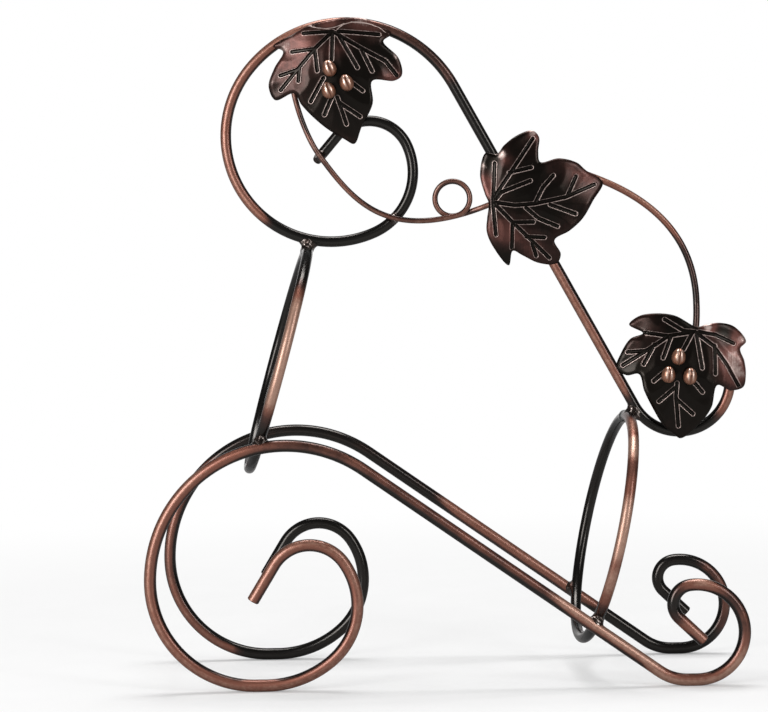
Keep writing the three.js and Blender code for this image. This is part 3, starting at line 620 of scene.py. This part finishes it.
def rod(name, line, diameter, sides, material, dark=0.0, wear_and_highlight=0.0, closed=False, swell=0, first=(0, 1, 0),
        shade_side=(0, 0, -1), inner_patina_and_shade=INNER_PATINA_AND_SHADE):
    """A round rod along a line, with chamfered sawn ends. swell is added to its radius at each place. The
    dark mask holds patina together with painted shade on the inner side of bends, paints shade on the shaded
    side of straights, and paints a thin dark edge of shade along the outer side."""
    heading = directions(line, closed)
    radius = np.full(len(line), diameter / 2) + swell
    dark, wear_and_highlight = (np.broadcast_to(values, len(line)) for values in (dark, wear_and_highlight))
    along = lengths_along(line)
    if not closed:
        ends = [0, 0, *range(1, len(line) - 1), -1, -1]
        shift = np.zeros(len(ends))
        shift[1], shift[-2] = CHAMFER, -CHAMFER
        line = line[ends] + heading[ends] * shift[:, None]
        heading, radius, dark, wear_and_highlight = heading[ends], radius[ends], dark[ends], wear_and_highlight[ends]
        along = along[ends] + shift
        radius[[0, -1]] -= CHAMFER
    normal = carried_normals(heading, first)
    across = np.cross(heading, normal)
    inner = bend_side(line, heading)
    angle = np.linspace(0, 2 * math.pi, sides, endpoint=False)
    section = np.stack([np.cos(angle), np.sin(angle)], -1)
    spokes = section[:, :1] * normal[:, None] + section[:, 1:] * across[:, None]
    vertices = (line[:, None] + spokes * radius[:, None, None]).reshape(-1, 3)
    flat = (section * radius[:, None, None]).reshape(-1, 2)
    place = np.column_stack([np.repeat(along, sides), flat])
    faces = ring_faces(len(line), sides, closed)
    # Painted shade: patina with shade on the inner side of bends, shade on the shaded side of straights (below them
    # unless another side is given), and a thin dark edge along the outer side
    straight = 1 - np.linalg.norm(inner, axis=1)[:, None]
    inner += straight * shade_side
    facing = np.einsum("ijk,ik->ij", spokes, inner)
    sideways = np.clip(1 - 3 * np.abs(inner[:, 1:2]), 0, 1)
    edges = smoothstep(facing + STRAIGHT_WIDENING * straight, *INNER_EDGE)
    edges += OUTER_SHARE * sideways * smoothstep(-facing, *OUTER_EDGE)
    dark = (dark[:, None] + inner_patina_and_shade * edges).ravel()
    wear_and_highlight = (wear_and_highlight[:, None] * (1 - smoothstep(facing, *WORN_EDGE))).ravel()
    if not closed:
        faces.append(tuple(range(sides - 1, -1, -1)))
        faces.append(tuple(range(len(vertices) - sides, len(vertices))))
    return add_piece(name, vertices, faces, place, dark, wear_and_highlight, material, sharp=None if closed else SHARP_ANGLE)


# Materials
class Graph:
    """A node tree built from calls that return sockets."""

    def __init__(self, owner):
        owner.use_nodes = True
        self.tree = owner.node_tree
        self.tree.nodes.clear()

    def node(self, kind, inputs=(), **settings):
        made = self.tree.nodes.new("ShaderNode" + kind)
        for key, value in settings.items():
            setattr(made, key, value)
        for key, value in dict(inputs).items():
            if isinstance(value, bpy.types.NodeSocket):
                self.tree.links.new(value, made.inputs[key])
            else:
                made.inputs[key].default_value = value
        return made

    def math(self, operation, *values):
        return self.node("Math", enumerate(values), operation=operation).outputs[0]

    def step(self, value, low, high, to_low=0.0, to_high=1.0):
        inputs = {"Value": value, "From Min": low, "From Max": high, "To Min": to_low, "To Max": to_high}
        return self.node("MapRange", inputs, interpolation_type="SMOOTHSTEP").outputs[0]

    def around_half(self, noise, strength, value):
        """A value pushed up and down by a noise that wavers round a half."""
        return self.math("MULTIPLY_ADD", self.math("SUBTRACT", noise, 0.5), strength, value)

    def mask(self, name):
        return self.node("Attribute", attribute_name=name).outputs["Fac"]

    def place(self, stretch=(1, 1, 1), turn=0.0):
        place = self.node("Attribute", attribute_name="mm_place").outputs["Vector"]
        inputs = {"Vector": place, "Rotation": (0, 0, math.radians(turn)), "Scale": stretch}
        return self.node("Mapping", inputs).outputs[0]

    def noise(self, place, size, detail=3.0, roughness=0.55):
        inputs = {"Vector": place, "Scale": 1 / size, "Detail": detail, "Roughness": roughness}
        return self.node("TexNoise", inputs).outputs["Fac"]

    def blend(self, share, *colours):
        first, second = ((*colour, 1) if isinstance(colour, tuple) else colour for colour in colours)
        return self.node("Mix", {"Factor": share, 6: first, 7: second}, data_type="RGBA").outputs[2]

    def end(self, kind, shader):
        self.tree.links.new(shader, self.node(f"Output{kind}").inputs["Surface"])

    def bump(self, height, depth, normal=None):
        inputs = {"Height": height, "Distance": depth * MM, "Strength": 1.0}
        if normal:
            inputs["Normal"] = normal
        return self.node("Bump", inputs).outputs[0]


EDGE_TINT = (0.28, 0.25, 0.24, 1)


def antique_copper(name, copper, brown, bright, patina, brush, brush_turn=0.0, blotch=22, rough=(0.34, 0.18),
                   metallic=(0.85, 0.92), uneven=0.6, lumps=0.0, coat=(0.5, 0.12)):
    """Copper plate under a glossy dark patina that was polished off by hand where it is raised, with painted
    highlights laid on in the same bright copper. rough and metallic hold the values of the bare copper and of the
    patina, coat the weight and roughness of the lacquer over both."""
    material = bpy.data.materials.new(name)
    graph = Graph(material)
    place = graph.place()
    blotches = graph.noise(place, blotch, detail=4)
    mottle = graph.noise(place, 1.6, detail=5, roughness=0.65)
    grain = graph.noise(graph.place(brush, brush_turn), 0.5, detail=3, roughness=0.7)
    dark = graph.around_half(blotches, uneven, graph.mask("dark"))
    dark = graph.around_half(grain, 0.2, dark)
    dark = graph.around_half(mottle, 0.18, dark)
    dark = graph.step(dark, 0.1, 0.95)
    # The bright mask: copper where the patina wore away, together with painted highlights
    rubbed_and_sheen = graph.around_half(mottle, 0.7, graph.mask("wear_and_highlight"))
    rubbed_and_sheen = graph.around_half(grain, 0.5, rubbed_and_sheen)
    rubbed_and_sheen = graph.step(rubbed_and_sheen, 0.25, 0.95)
    colour = graph.blend(graph.step(dark, 0.0, 0.55), copper, brown)
    colour = graph.blend(graph.step(dark, 0.4, 1.0), colour, patina)
    colour = graph.blend(rubbed_and_sheen, colour, bright)
    covered = graph.math("SUBTRACT", dark, rubbed_and_sheen)
    metal = graph.step(covered, 0.0, 1.0, *metallic)
    roughness = graph.around_half(grain, 0.12, graph.step(covered, 0.2, 0.9, *rough))
    roughness = graph.around_half(mottle, 0.08, roughness)
    normal = graph.bump(grain, 0.0015)
    normal = graph.bump(graph.noise(place, 2.5, detail=2), 0.02 + lumps, normal)
    pits = graph.node("TexVoronoi", {"Vector": place, "Scale": 1 / 3.1}).outputs["Distance"]
    normal = graph.bump(graph.step(pits, 0.0, 0.12), 0.008, normal)
    shader = graph.node("BsdfPrincipled", {
        "Base Color": colour,
        "Metallic": metal,
        "Roughness": roughness,
        "Normal": normal,
        "Specular Tint": EDGE_TINT,
        "Coat Weight": coat[0],
        "Coat Roughness": coat[1],
    })
    graph.end("Material", shader.outputs[0])
    return material


ALONG_ROD = (0.04, 1, 1)
rod_metal = antique_copper("antique_copper_rod", copper=(0.29, 0.112, 0.075), brown=(0.085, 0.037, 0.028),
                           bright=(0.6, 0.36, 0.27), patina=(0.019, 0.016, 0.013), brush=ALONG_ROD, rough=(0.45, 0.2),
                           coat=(0.7, 0.24))
leaf_metal = antique_copper("antique_copper_leaf", copper=(0.145, 0.057, 0.046), brown=(0.045, 0.02, 0.016),
                            bright=(0.72, 0.56, 0.51), patina=(0.01, 0.007, 0.0045), brush=(1, 0.06, 1),
                            brush_turn=40, blotch=9, rough=(0.4, 0.3), coat=(0.3, 0.25))
berry_metal = antique_copper("bright_copper_berry", copper=(0.38, 0.18, 0.115), brown=(0.15, 0.06, 0.04),
                             bright=(0.85, 0.65, 0.55), patina=(0.03, 0.012, 0.008), brush=(1, 1, 0.1),
                             blotch=5, rough=(0.34, 0.25), metallic=(0.75, 0.8), uneven=0.3, coat=(0.5, 0.15))
weld_metal = antique_copper("weld_bead", copper=(0.09, 0.06, 0.05), brown=(0.035, 0.025, 0.02),
                            bright=(0.4, 0.34, 0.31), patina=(0.01, 0.008, 0.007), brush=(1, 1, 1),
                            blotch=3, rough=(0.3, 0.2), lumps=0.1, coat=(0.6, 0.12))


def ride(piece, node):
    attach(piece, "root")
    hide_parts(node)


# Rods. A run is its start and end as shares of the rod's length, and how much patina together with painted shade it
# carries or, for a bright run, how far the patina wore away or a highlight is painted
def dark_runs(line, runs, fade=0.015):
    share = lengths_along(line) / lengths_along(line)[-1]
    total = np.zeros(len(line))
    for start, end, strength in runs:
        rise, fall = (smoothstep(share, place - fade, place + fade) for place in (start, end))
        total = np.maximum(total, strength * rise * (1 - fall))
    return total


# Dark runs: patina together with painted shade where the rods face away from the lamps, on curls, bottoms, shaded
# sides and the rings' far halves and bottoms
SIDE_ROD_RUNS = {
    "front_side_rod": [(0.46, 0.72, 0.42), (0.88, 0.928, 0.5), (0.95, 0.978, 0.85)],
    "rear_side_rod": [(-1, 0.25, 1), (0.24, 0.44, 0.35), (0.42, 0.62, 0.75), (0.76, 0.87, 0.85),
                      (0.85, 0.93, 0.45), (0.92, 2, 0.85)],
}
HANDLE_RUNS = [(-1, 0.26, 1), (0.5, 0.59, 0.5), (0.58, 0.7, 0.92), (0.87, 0.955, 0.95)]
HANDLE_SHADE_SIDE = (0.86, 0, 0.5)
ROD_WORN = 0.45
RING_RUNS = {
    "neck_ring": [(-1, 0.13, 0.95), (0.32, 2, 0.9)],
    "body_ring": [(-1, 0.05, 0.5), (0.135, 0.165, 0.6), (0.345, 2, 0.9)],
}
# Bright runs: copper where the patina wore away together with painted highlights, such as the near-white highlight
# painted high on the body ring's front and the pink one on top of the front rod's small scroll
SIDE_ROD_WEAR_AND_HIGHLIGHT_RUNS = {
    "front_side_rod": [(-1, 0.44, 0.45), (0.71, 0.88, 0.7), (0.93, 0.945, 0.8), (0.975, 2, 0.45)],
    "rear_side_rod": [(0.25, 0.41, 0.35), (0.61, 0.76, 0.4), (0.87, 0.92, 0.3)],
}
RING_WEAR_AND_HIGHLIGHT_RUNS = {
    "neck_ring": [(0.15, 0.31, 0.85)],
    "body_ring": [(0.04, 0.09, 0.5), (0.09, 0.13, 1.1), (0.185, 0.28, 0.8), (0.28, 0.33, 0.65)],
}
TENDRIL_DARK = 0.42
TENDRIL_WORN = 0.4
WIRE_PATINA_AND_SHADE = 0.3
# The stem's first half, where it rises, is painted bright as a highlight of light from above; its second half is
# darker
STEM_RUNS = [(0.5, 2, 0.6)]
STEM_HIGHLIGHT_RUNS = [(0.08, 0.5, 0.5)]
lines = {name: side_rod_line(name) for name in SIDE_ROD_RUNS}
lines["handle_rod"] = handle_line()
lines["tendril"] = tendril_line(lines["handle_rod"])
lines["leaf_stem"] = stem_line()
for name, runs in SIDE_ROD_RUNS.items():
    ride(rod(f"{name}_bar", lines[name], SIDE_ROD_DIAMETER, ROD_SIDES, rod_metal, dark_runs(lines[name], runs),
             dark_runs(lines[name], SIDE_ROD_WEAR_AND_HIGHLIGHT_RUNS[name])), name)
handle_dark = dark_runs(lines["handle_rod"], HANDLE_RUNS)
ride(rod("handle_bar", lines["handle_rod"], HANDLE_ROD_DIAMETER, ROD_SIDES, rod_metal, handle_dark,
         ROD_WORN * (1 - handle_dark), shade_side=HANDLE_SHADE_SIDE), "handle_rod")
ride(rod("tendril_wire", lines["tendril"], TENDRIL_DIAMETER, WIRE_SIDES, rod_metal, TENDRIL_DARK, TENDRIL_WORN,
         inner_patina_and_shade=WIRE_PATINA_AND_SHADE), "tendril")
stem_dark = dark_runs(lines["leaf_stem"], STEM_RUNS, fade=0.15)
stem_highlight = dark_runs(lines["leaf_stem"], STEM_HIGHLIGHT_RUNS, fade=0.08)
ride(rod("stem_wire", lines["leaf_stem"], STEM_DIAMETER, WIRE_SIDES, rod_metal, stem_dark, stem_highlight,
         inner_patina_and_shade=WIRE_PATINA_AND_SHADE), "leaf_stem")

# Rings: their ends meet in a butt weld just behind the top
JOINT_PLACE = -7.0
JOINT_WIDTH = 1.6
JOINT_HEIGHT = 0.45
JOINT_DARK = 0.9
JOINT_DARK_WIDTH = 9


def ring(name, line):
    length = 2 * math.pi * RING_RADIUS
    away = (lengths_along(line) - JOINT_PLACE + length / 2) % length - length / 2
    swell = JOINT_HEIGHT * hump(away, JOINT_WIDTH)
    dark = np.maximum(JOINT_DARK * hump(away, JOINT_DARK_WIDTH), dark_runs(line, RING_RUNS[name], fade=0.035))
    wear_and_highlight = dark_runs(line, RING_WEAR_AND_HIGHLIGHT_RUNS[name], fade=0.02)
    up, _ = ring_axes(name)
    ride(rod(f"{name}_hoop", line, RING_ROD_DIAMETER, ROD_SIDES, rod_metal, dark, wear_and_highlight, closed=True, swell=swell,
             first=up), name)


for name in RING_LEAN_ANGLES:
    lines[name] = ring_line(name)
    ring(name, lines[name])


# Leaves: a stamped sheet with sunk veins, raised rims and a rounded edge
def leaf_grid(leaf):
    """Places all over a leaf, closer together near its veins, folds and edge, the triangles between them, and
    the count of those on the outline, which come first."""
    low, high = leaf.outline.min(0), leaf.outline.max(0)
    plain = hex_grid(low, high, PLAIN_SPACING)
    marked = leaf.veins + leaf.folds
    plain = plain[distance_to_lines(plain, marked) > FINE_BAND]
    fine = hex_grid(low, high, FINE_SPACING)
    fine = fine[distance_to_lines(fine, marked) <= FINE_BAND]
    places = np.vstack([plain, fine])
    places = places[inside(leaf.outline, places)]
    places = places[leaf.edge_distance(places) > EDGE_RINGS[-1] + 0.15]
    ahead = np.roll(leaf.outline, -1, axis=0) - np.roll(leaf.outline, 1, axis=0)
    inward = np.stack([-ahead[:, 1], ahead[:, 0]], -1) / np.linalg.norm(ahead, axis=1)[:, None]
    if not inside(leaf.outline, leaf.outline[:1] + inward[:1] * 0.01)[0]:
        inward = -inward
    bands = []
    for offset in EDGE_RINGS:
        band = leaf.outline + inward * offset
        bands.append(band[leaf.edge_distance(band) > offset * 0.9])
    places = np.vstack([leaf.outline, *bands, places])
    corners = len(leaf.outline)
    edges = [(i, (i + 1) % corners) for i in range(corners)]
    placed, _, triangles, *_ = delaunay_2d_cdt([Vector(p) for p in places], edges, [], 0, 1e-6)
    placed, triangles = np.array(placed), np.array(triangles)
    middles = placed[triangles].mean(axis=1)
    return placed, triangles[inside(leaf.outline, middles)], corners


def leaf_relief(leaf, places, edge):
    """How far the sheet stands back from its cup, and the groove and rim masks. The rims are bright where the patina
    wore away and painted brighter on their lit side as a highlight; the folds are painted bright as highlights."""
    vein = leaf.vein_distance(places)
    local = places - leaf.root
    groove = 1 - smoothstep(vein, GROOVE_HALF_WIDTH - 0.3, GROOVE_HALF_WIDTH + 0.2)
    rim = hump(vein - RIM_OFFSET, RIM_WIDTH) * smoothstep(edge, 0.3, 1.2)
    step = 0.1
    lit = (leaf.vein_distance(places + np.multiply(RIM_LIT_SIDE, step)) - vein) / step
    groove *= smoothstep(edge, 0.4, 1.4)
    pillow = PILLOW_HEIGHT * smoothstep(vein, *PILLOW_REACH)
    roll = EDGE_ROLL * (1 - smoothstep(edge, 0, EDGE_ROLL_WIDTH)) ** 2
    waves = WAVE_DEPTH * ripple(local, WAVE_SIZE, leaf.root[0] % 3)
    bends = spots(local, leaf.marks["bends"])
    fold = hump(distance_to_lines(places, leaf.folds), FOLD_WIDTH) * (1 - groove)
    relief = GROOVE_DEPTH * groove - RIM_HEIGHT * np.maximum(rim, fold) - pillow + roll + waves + bends
    # Rims: bright where the patina wore away, with a painted highlight on their lit side; folds painted bright as
    # highlights
    return relief, groove, np.maximum(rim * (1 - RIM_LIT_SHARE + RIM_LIT_SHARE * lit), FOLD_HIGHLIGHT * fold)


def leaf_piece(leaf):
    places, triangles, corners = leaf_grid(leaf)
    edge = leaf.edge_distance(places)
    edge[:corners] = 0
    relief, groove, rim = leaf_relief(leaf, places, edge)
    middle = leaf.back(places) - LEAF_THICKNESS / 2 + relief
    reach = np.clip(edge / EDGE_RADIUS, 0, 1)
    half = SHEET_THICKNESS / 2 * np.sqrt(1 - (1 - reach) ** 2)
    front = at_depth(places, middle - half)
    back = at_depth(places, middle + half)
    local = places - leaf.root
    # Painted light and shade: the lighter spots lift the dark on lobes that face the lamps, the darker spots add
    # painted shade on lobes that turn away, and the bright spots add painted highlights
    blush_and_light = np.clip(spots(local, leaf.marks["blush_and_light"]), 0, 1)
    patina_and_shade = np.clip(spots(local, leaf.marks["patina_and_shade"]), 0, 1)
    dark = SHEET_DARK - BLUSH_AND_LIGHT_CLEARS * blush_and_light + PATINA_AND_SHADE_DARK * patina_and_shade + GROOVE_DARK * groove
    wear_and_highlight = rim * (1 - BLUSH_AND_LIGHT_DULLS * blush_and_light) + EDGE_WORN * (1 - smoothstep(edge, 0.1, 0.5))
    wear_and_highlight += spots(local, leaf.marks["rubbed_and_sheen"]) * (1 - groove)
    dark, wear_and_highlight = np.clip(dark, 0, FULLEST), np.clip(wear_and_highlight, 0, FULLEST)
    count = len(places)
    inner = np.arange(count) >= corners
    number = np.where(inner, np.cumsum(inner) - 1 + count, np.arange(count))
    first, second, third = (places[triangles[:, k]] for k in range(3))
    area = np.cross(second - first, third - first)
    ccw = np.where(area[:, None] > 0, triangles, triangles[:, ::-1])
    faces = ccw.tolist() + number[ccw[:, ::-1]].tolist()
    vertices = np.vstack([front, back[inner]])
    dark = np.concatenate([dark, dark[inner]])
    wear_and_highlight = np.concatenate([wear_and_highlight, BACK_WORN * wear_and_highlight[inner]])
    place = np.column_stack([np.vstack([local, local[inner]]), np.arange(len(vertices)) >= count])
    piece = add_piece(f"{leaf.name}_sheet", vertices, faces, place, dark, wear_and_highlight, leaf_metal)
    ride(piece, leaf.name)


for leaf in (upper_leaf, middle_leaf, lower_leaf):
    leaf_piece(leaf)


# Berries: drops with a crease down the front and a painted highlight band either side of it, in shares of half the
# berry
BERRY_TILTS = {"upper": -20, "lower": 6}
BERRY_ROWS = 40
BERRY_SIDES = 56
BERRY_FLAT = 0.55
BERRY_TAPER = 0.12
CREASE_PLACE = 0.08
CREASE_WIDTH = 0.13
CREASE_DEPTH = 0.07
HIGHLIGHT_BAND_OFFSET = 0.33
HIGHLIGHT_BAND_WIDTH = 0.17
CREASE_DARK = 0.55
REAR_DARK = 0.9
HIGHLIGHT_BAND_BRIGHT = 0.95


def berry(node, tilt):
    low, high = node_box(node)
    centre, half = (low + high) / 2, (high - low) / 2
    sunk = math.sqrt(1 - BERRY_FLAT**2)
    half[1] *= 2 / (1 + sunk)
    centre[1] = high[1] - sunk * half[1]
    polar = np.linspace(0, math.pi, BERRY_ROWS + 1)[1:-1]
    angle = np.linspace(0, 2 * math.pi, BERRY_SIDES, endpoint=False)
    polar, angle = (grid.ravel() for grid in np.meshgrid(polar, angle, indexing="ij"))
    ball = np.stack([np.sin(polar) * np.sin(angle), -np.sin(polar) * np.cos(angle), np.cos(polar)], -1)
    ball = np.vstack([ball, [0, 0, 1], [0, 0, -1]])
    across = ball[:, 0] - CREASE_PLACE
    front = smoothstep(-ball[:, 1], 0.1, 0.6)
    crease = hump(across, CREASE_WIDTH) * front
    # Two vertical highlights painted down the front, either side of the crease, fading out towards the bottom
    highlight_bands = hump(np.abs(across) - HIGHLIGHT_BAND_OFFSET, HIGHLIGHT_BAND_WIDTH) * front
    highlight_bands *= smoothstep(ball[:, 2], -0.9, -0.1)
    drop = ball * (1 - CREASE_DEPTH * crease)[:, None]
    drop[:, 0] *= 1 - BERRY_TAPER * ball[:, 2]
    sized = drop * half
    turned = sized @ np.array(Matrix.Rotation(math.radians(tilt), 3, "Y")).T
    faces = ring_faces(BERRY_ROWS - 1, BERRY_SIDES)
    top, bottom = len(ball) - 2, len(ball) - 1
    last = top - BERRY_SIDES
    for k in range(BERRY_SIDES):
        after = (k + 1) % BERRY_SIDES
        faces.append((k, after, top))
        faces.append((last + after, last + k, bottom))
    dark = np.clip(CREASE_DARK * crease + REAR_DARK * smoothstep(ball[:, 1], -0.15, 0.45), 0, 1)
    piece = add_piece(f"{node}_drop", turned + centre, faces, sized, dark, HIGHLIGHT_BAND_BRIGHT * highlight_bands, berry_metal)
    ride(piece, node)


for leaf_name, tilt in BERRY_TILTS.items():
    for i in range(1, 4):
        berry(f"{leaf_name}_leaf_berry_{i}", tilt)


# Welds: a bead is where two round rods and a ball of metal flow together, seen from where the rods touch
BEAD_BLEND = 1.5
BEAD_REACH = {"ring": 4.6, "tendril": 3.2}
BEAD_BALL = {"ring": 2.9, "tendril": 1.9}
BEAD_MARCH = 60
BEAD_CORE = 0.05
BEAD_LUMPS = 0.22
BEAD_DARK = 0.45
MEETING_REACH = 14
BEAD_CARRIERS = {"top": "handle_rod", "front": "front_side_rod", "rear": "rear_side_rod"}
ROD_RADII = {
    **dict.fromkeys(SIDE_ROD_RUNS, SIDE_ROD_DIAMETER / 2), **dict.fromkeys(RING_RUNS, RING_ROD_DIAMETER / 2),
    "handle_rod": HANDLE_ROD_DIAMETER / 2, "tendril": TENDRIL_DIAMETER / 2,
}


def meeting(first, second, near):
    """Where two lines come nearest each other around a place: a place and a heading on each."""
    close_first = np.flatnonzero(np.linalg.norm(first - near, axis=1) < MEETING_REACH)
    close_second = np.flatnonzero(np.linalg.norm(second - near, axis=1) < MEETING_REACH)
    gaps = np.linalg.norm(first[close_first][:, None] - second[close_second][None], axis=2)
    i, j = np.unravel_index(gaps.argmin(), gaps.shape)
    i, j = close_first[i], close_second[j]
    return (first[i], directions(first)[i]), (second[j], directions(second)[j])


def round_distance(points, centre, heading, radius):
    away = points - centre
    return np.linalg.norm(away - (away @ heading)[..., None] * heading, axis=-1) - radius


def flow_together(first, second):
    share = np.clip(0.5 + 0.5 * (second - first) / BEAD_BLEND, 0, 1)
    return second + (first - second) * share - BEAD_BLEND * share * (1 - share)


def bead(node, first, second, size):
    near = node_middle(node)
    (place_a, heading_a), (place_b, heading_b) = meeting(lines[first], lines[second], near)
    middle = (place_a + place_b) / 2
    reach = BEAD_REACH[size]
    shape = bmesh.new()
    bmesh.ops.create_icosphere(shape, subdivisions=5, radius=1)
    rays = np.array([vertex.co for vertex in shape.verts])
    faces = [[vertex.index for vertex in face.verts] for face in shape.faces]
    shape.free()
    distance = np.full(len(rays), BEAD_CORE)
    for _ in range(BEAD_MARCH):
        points = middle + rays * distance[:, None]
        lumps = np.sin(points @ [2.1, 1.3, 0.4] + near[0]) * np.sin(points @ [-0.6, 1.9, 1.7])
        ball = np.linalg.norm(points - middle, axis=1) - BEAD_BALL[size] + BEAD_LUMPS * lumps
        metal = flow_together(ball, round_distance(points, place_a, heading_a, ROD_RADII[first]))
        metal = flow_together(metal, round_distance(points, place_b, heading_b, ROD_RADII[second]))
        metal += 0.35 * smoothstep(distance, 0.72 * reach, reach)
        distance = np.clip(distance - 0.7 * metal, BEAD_CORE, reach)
    vertices = middle + rays * distance[:, None]
    ripples = np.sin(vertices @ [2.3, 0.5, 0.9] + 1.2 * np.sin(vertices @ [0.7, 0, 1.9]))
    # Glints painted on the bead: bright squiggles only on its side that faces the camera
    wear_and_highlight = smoothstep(-rays[:, 1], 0.1, 0.7) * smoothstep(ripples, 0.55, 0.95)
    piece = add_piece(f"{node}_bead", vertices, faces, rays * distance[:, None], BEAD_DARK, wear_and_highlight, weld_metal)
    ride(piece, node)


for name in RING_LEAN_ANGLES:
    for side, carrier in BEAD_CARRIERS.items():
        bead(f"{name}_{side}_weld", name, carrier, "ring")
for side in ("tail", "curl"):
    bead(f"tendril_{side}_weld", "tendril", "handle_rod", "tendril")

# Tacks: short rippled runs of weld behind the leaves, each along the line that it holds
TACKS = {
    "handle_rod": ("upper_leaf_left", "upper_leaf_right", "middle_leaf_top", "middle_leaf_low", "lower_leaf_tip",
                   "lower_leaf_end"),
    "tendril": ("tendril_start", "tendril_end"),
    "leaf_stem": ("stem_start", "stem_end"),
}
TACK_RADIUS = 1.2
TACK_LENGTH = 4.2
TACK_RIPPLE = 1.1
TACK_RIPPLE_HEIGHT = 0.12
TACK_DARK = 0.5
TACK_WORN = 0.1


def tack(node, line):
    middle = node_middle(node)
    nearest = np.linalg.norm(line - middle, axis=1).argmin()
    along = np.linspace(-0.5, 0.5, 41)
    places = middle + np.outer(along * TACK_LENGTH, directions(line)[nearest])
    taper = np.sqrt(np.clip(1 - (2 * along) ** 2, 0, 1)) * 0.8 + 0.2
    waves = TACK_RIPPLE_HEIGHT * np.cos(2 * math.pi * along * TACK_LENGTH / TACK_RIPPLE)
    swell = TACK_RADIUS * (taper - 1) + waves * taper
    ride(rod(f"{node}_run", places, 2 * TACK_RADIUS, WIRE_SIDES, weld_metal, TACK_DARK, TACK_WORN, swell=swell),
         node)


for carrier, ends in TACKS.items():
    for end in ends:
        tack(f"{end}_tack", lines[carrier])


# Camera, at the photograph's place: where it looks, how it rolls and its focal length in pixels
PHOTO_WIDTH = 768
FOCAL_PIXELS = 2531.4
SENSOR_WIDTH = 36
CAMERA_PLACE = (-0.43, -1053.65, 191.03)
CAMERA_AHEAD = (-0.02449, 0.99821, -0.05461)
CAMERA_ROLL = -1.0724


def add_camera():
    camera = add_object("camera", bpy.data.cameras.new("camera"))
    camera.data.sensor_width = SENSOR_WIDTH
    camera.data.lens = FOCAL_PIXELS * SENSOR_WIDTH / PHOTO_WIDTH
    camera.data.clip_start, camera.data.clip_end = 0.05, 20
    turn = Vector(CAMERA_AHEAD).to_track_quat("-Z", "Y").to_matrix().to_4x4()
    roll = Matrix.Rotation(math.radians(CAMERA_ROLL), 4, "Z")
    camera.matrix_world = Matrix.Translation(Vector(CAMERA_PLACE) * MM) @ turn @ roll
    bpy.context.scene.camera = camera


# Studio: soft boxes, a world that is white to the camera, and a pale floor that keeps the shadow. Metal
# mirrors the white behind it and grey elsewhere
ROOM_GREY = 0.4
FLOOR_HALF = 4.0
FLOOR_CELLS = 16


def add_softbox(name, place, target, width, height, watts):
    light = bpy.data.lights.new(name, "AREA")
    light.shape = "RECTANGLE"
    light.size, light.size_y = width, height
    light.energy = watts
    lamp = add_object(name, light)
    lamp.location = place
    lamp.rotation_euler = (Vector(target) - Vector(place)).to_track_quat("-Z", "Y").to_euler()


def add_world():
    world = bpy.data.worlds.new("studio")
    bpy.context.scene.world = world
    world.cycles.sampling_method = "NONE"  # sampled as a lamp, it can't tell kinds of ray apart
    graph = Graph(world)
    rays = graph.node("LightPath").outputs
    seen = graph.math("MAXIMUM", rays["Is Glossy Ray"], rays["Is Transmission Ray"])
    away = graph.node("SeparateXYZ", {0: graph.node("TexCoord").outputs["Generated"]}).outputs["Y"]
    room = graph.math("ADD", graph.step(away, 0.75, 0.98, 0.1, 1.0), graph.step(away, -0.8, -1.0, 0.0, 0.12))
    strength = graph.math("MULTIPLY_ADD", seen, graph.math("SUBTRACT", room, ROOM_GREY), ROOM_GREY)
    strength = graph.math("MAXIMUM", strength, rays["Is Camera Ray"])
    shader = graph.node("Background", {"Color": (1, 1, 1, 1), "Strength": strength})
    graph.end("World", shader.outputs[0])


def floor_material():
    material = bpy.data.materials.new("pale_floor")
    graph = Graph(material)
    rays = graph.node("LightPath").outputs
    mirrored = graph.math("MAXIMUM", rays["Is Glossy Ray"], rays["Is Transmission Ray"])
    place = graph.node("TexCoord").outputs["Object"]
    away = graph.node("VectorMath", {0: place}, operation="LENGTH").outputs["Value"]
    seen_far = graph.math("MULTIPLY", rays["Is Camera Ray"], graph.step(away, 0.15, 0.6, 0.25, 1.0))
    behind_object = graph.node("SeparateXYZ", {0: place}).outputs["Y"]
    mirrored_far = graph.math("MULTIPLY", mirrored, graph.step(behind_object, 0.4, 1.2))
    grain = graph.noise(place, 0.03, detail=4)
    pale = graph.blend(grain, (0.8, 0.8, 0.8), (0.84, 0.84, 0.84))
    colour = graph.blend(rays["Is Camera Ray"], (0.4, 0.4, 0.4), pale)
    matte = graph.node("BsdfDiffuse", {"Color": colour}).outputs[0]
    glow = graph.node("Emission", {"Color": (1, 1, 1, 1), "Strength": 1.0}).outputs[0]
    share = graph.math("MAXIMUM", seen_far, mirrored_far)
    shader = graph.node("MixShader", {0: share, 1: matte, 2: glow}).outputs[0]
    graph.end("Material", shader)
    return material


def add_floor():
    shape = bmesh.new()
    bmesh.ops.create_grid(shape, x_segments=FLOOR_CELLS, y_segments=FLOOR_CELLS, size=FLOOR_HALF)
    mesh = bpy.data.meshes.new("floor")
    shape.to_mesh(mesh)
    shape.free()
    mesh.materials.append(floor_material())
    add_object("floor", mesh)


add_camera()
add_world()
add_floor()
add_softbox("softbox_left", (-0.85, -1.05, 0.42), (-0.02, 0, 0.14), 0.5, 0.9, 11)
add_softbox("softbox_right", (0.85, -0.85, 0.62), (0.02, 0, 0.14), 0.22, 0.9, 4.5)
add_softbox("softbox_top", (0, 0.2, 1.3), (0, 0, 0.1), 0.8, 0.4, 10)
bpy.context.scene.view_settings.view_transform = "Standard"
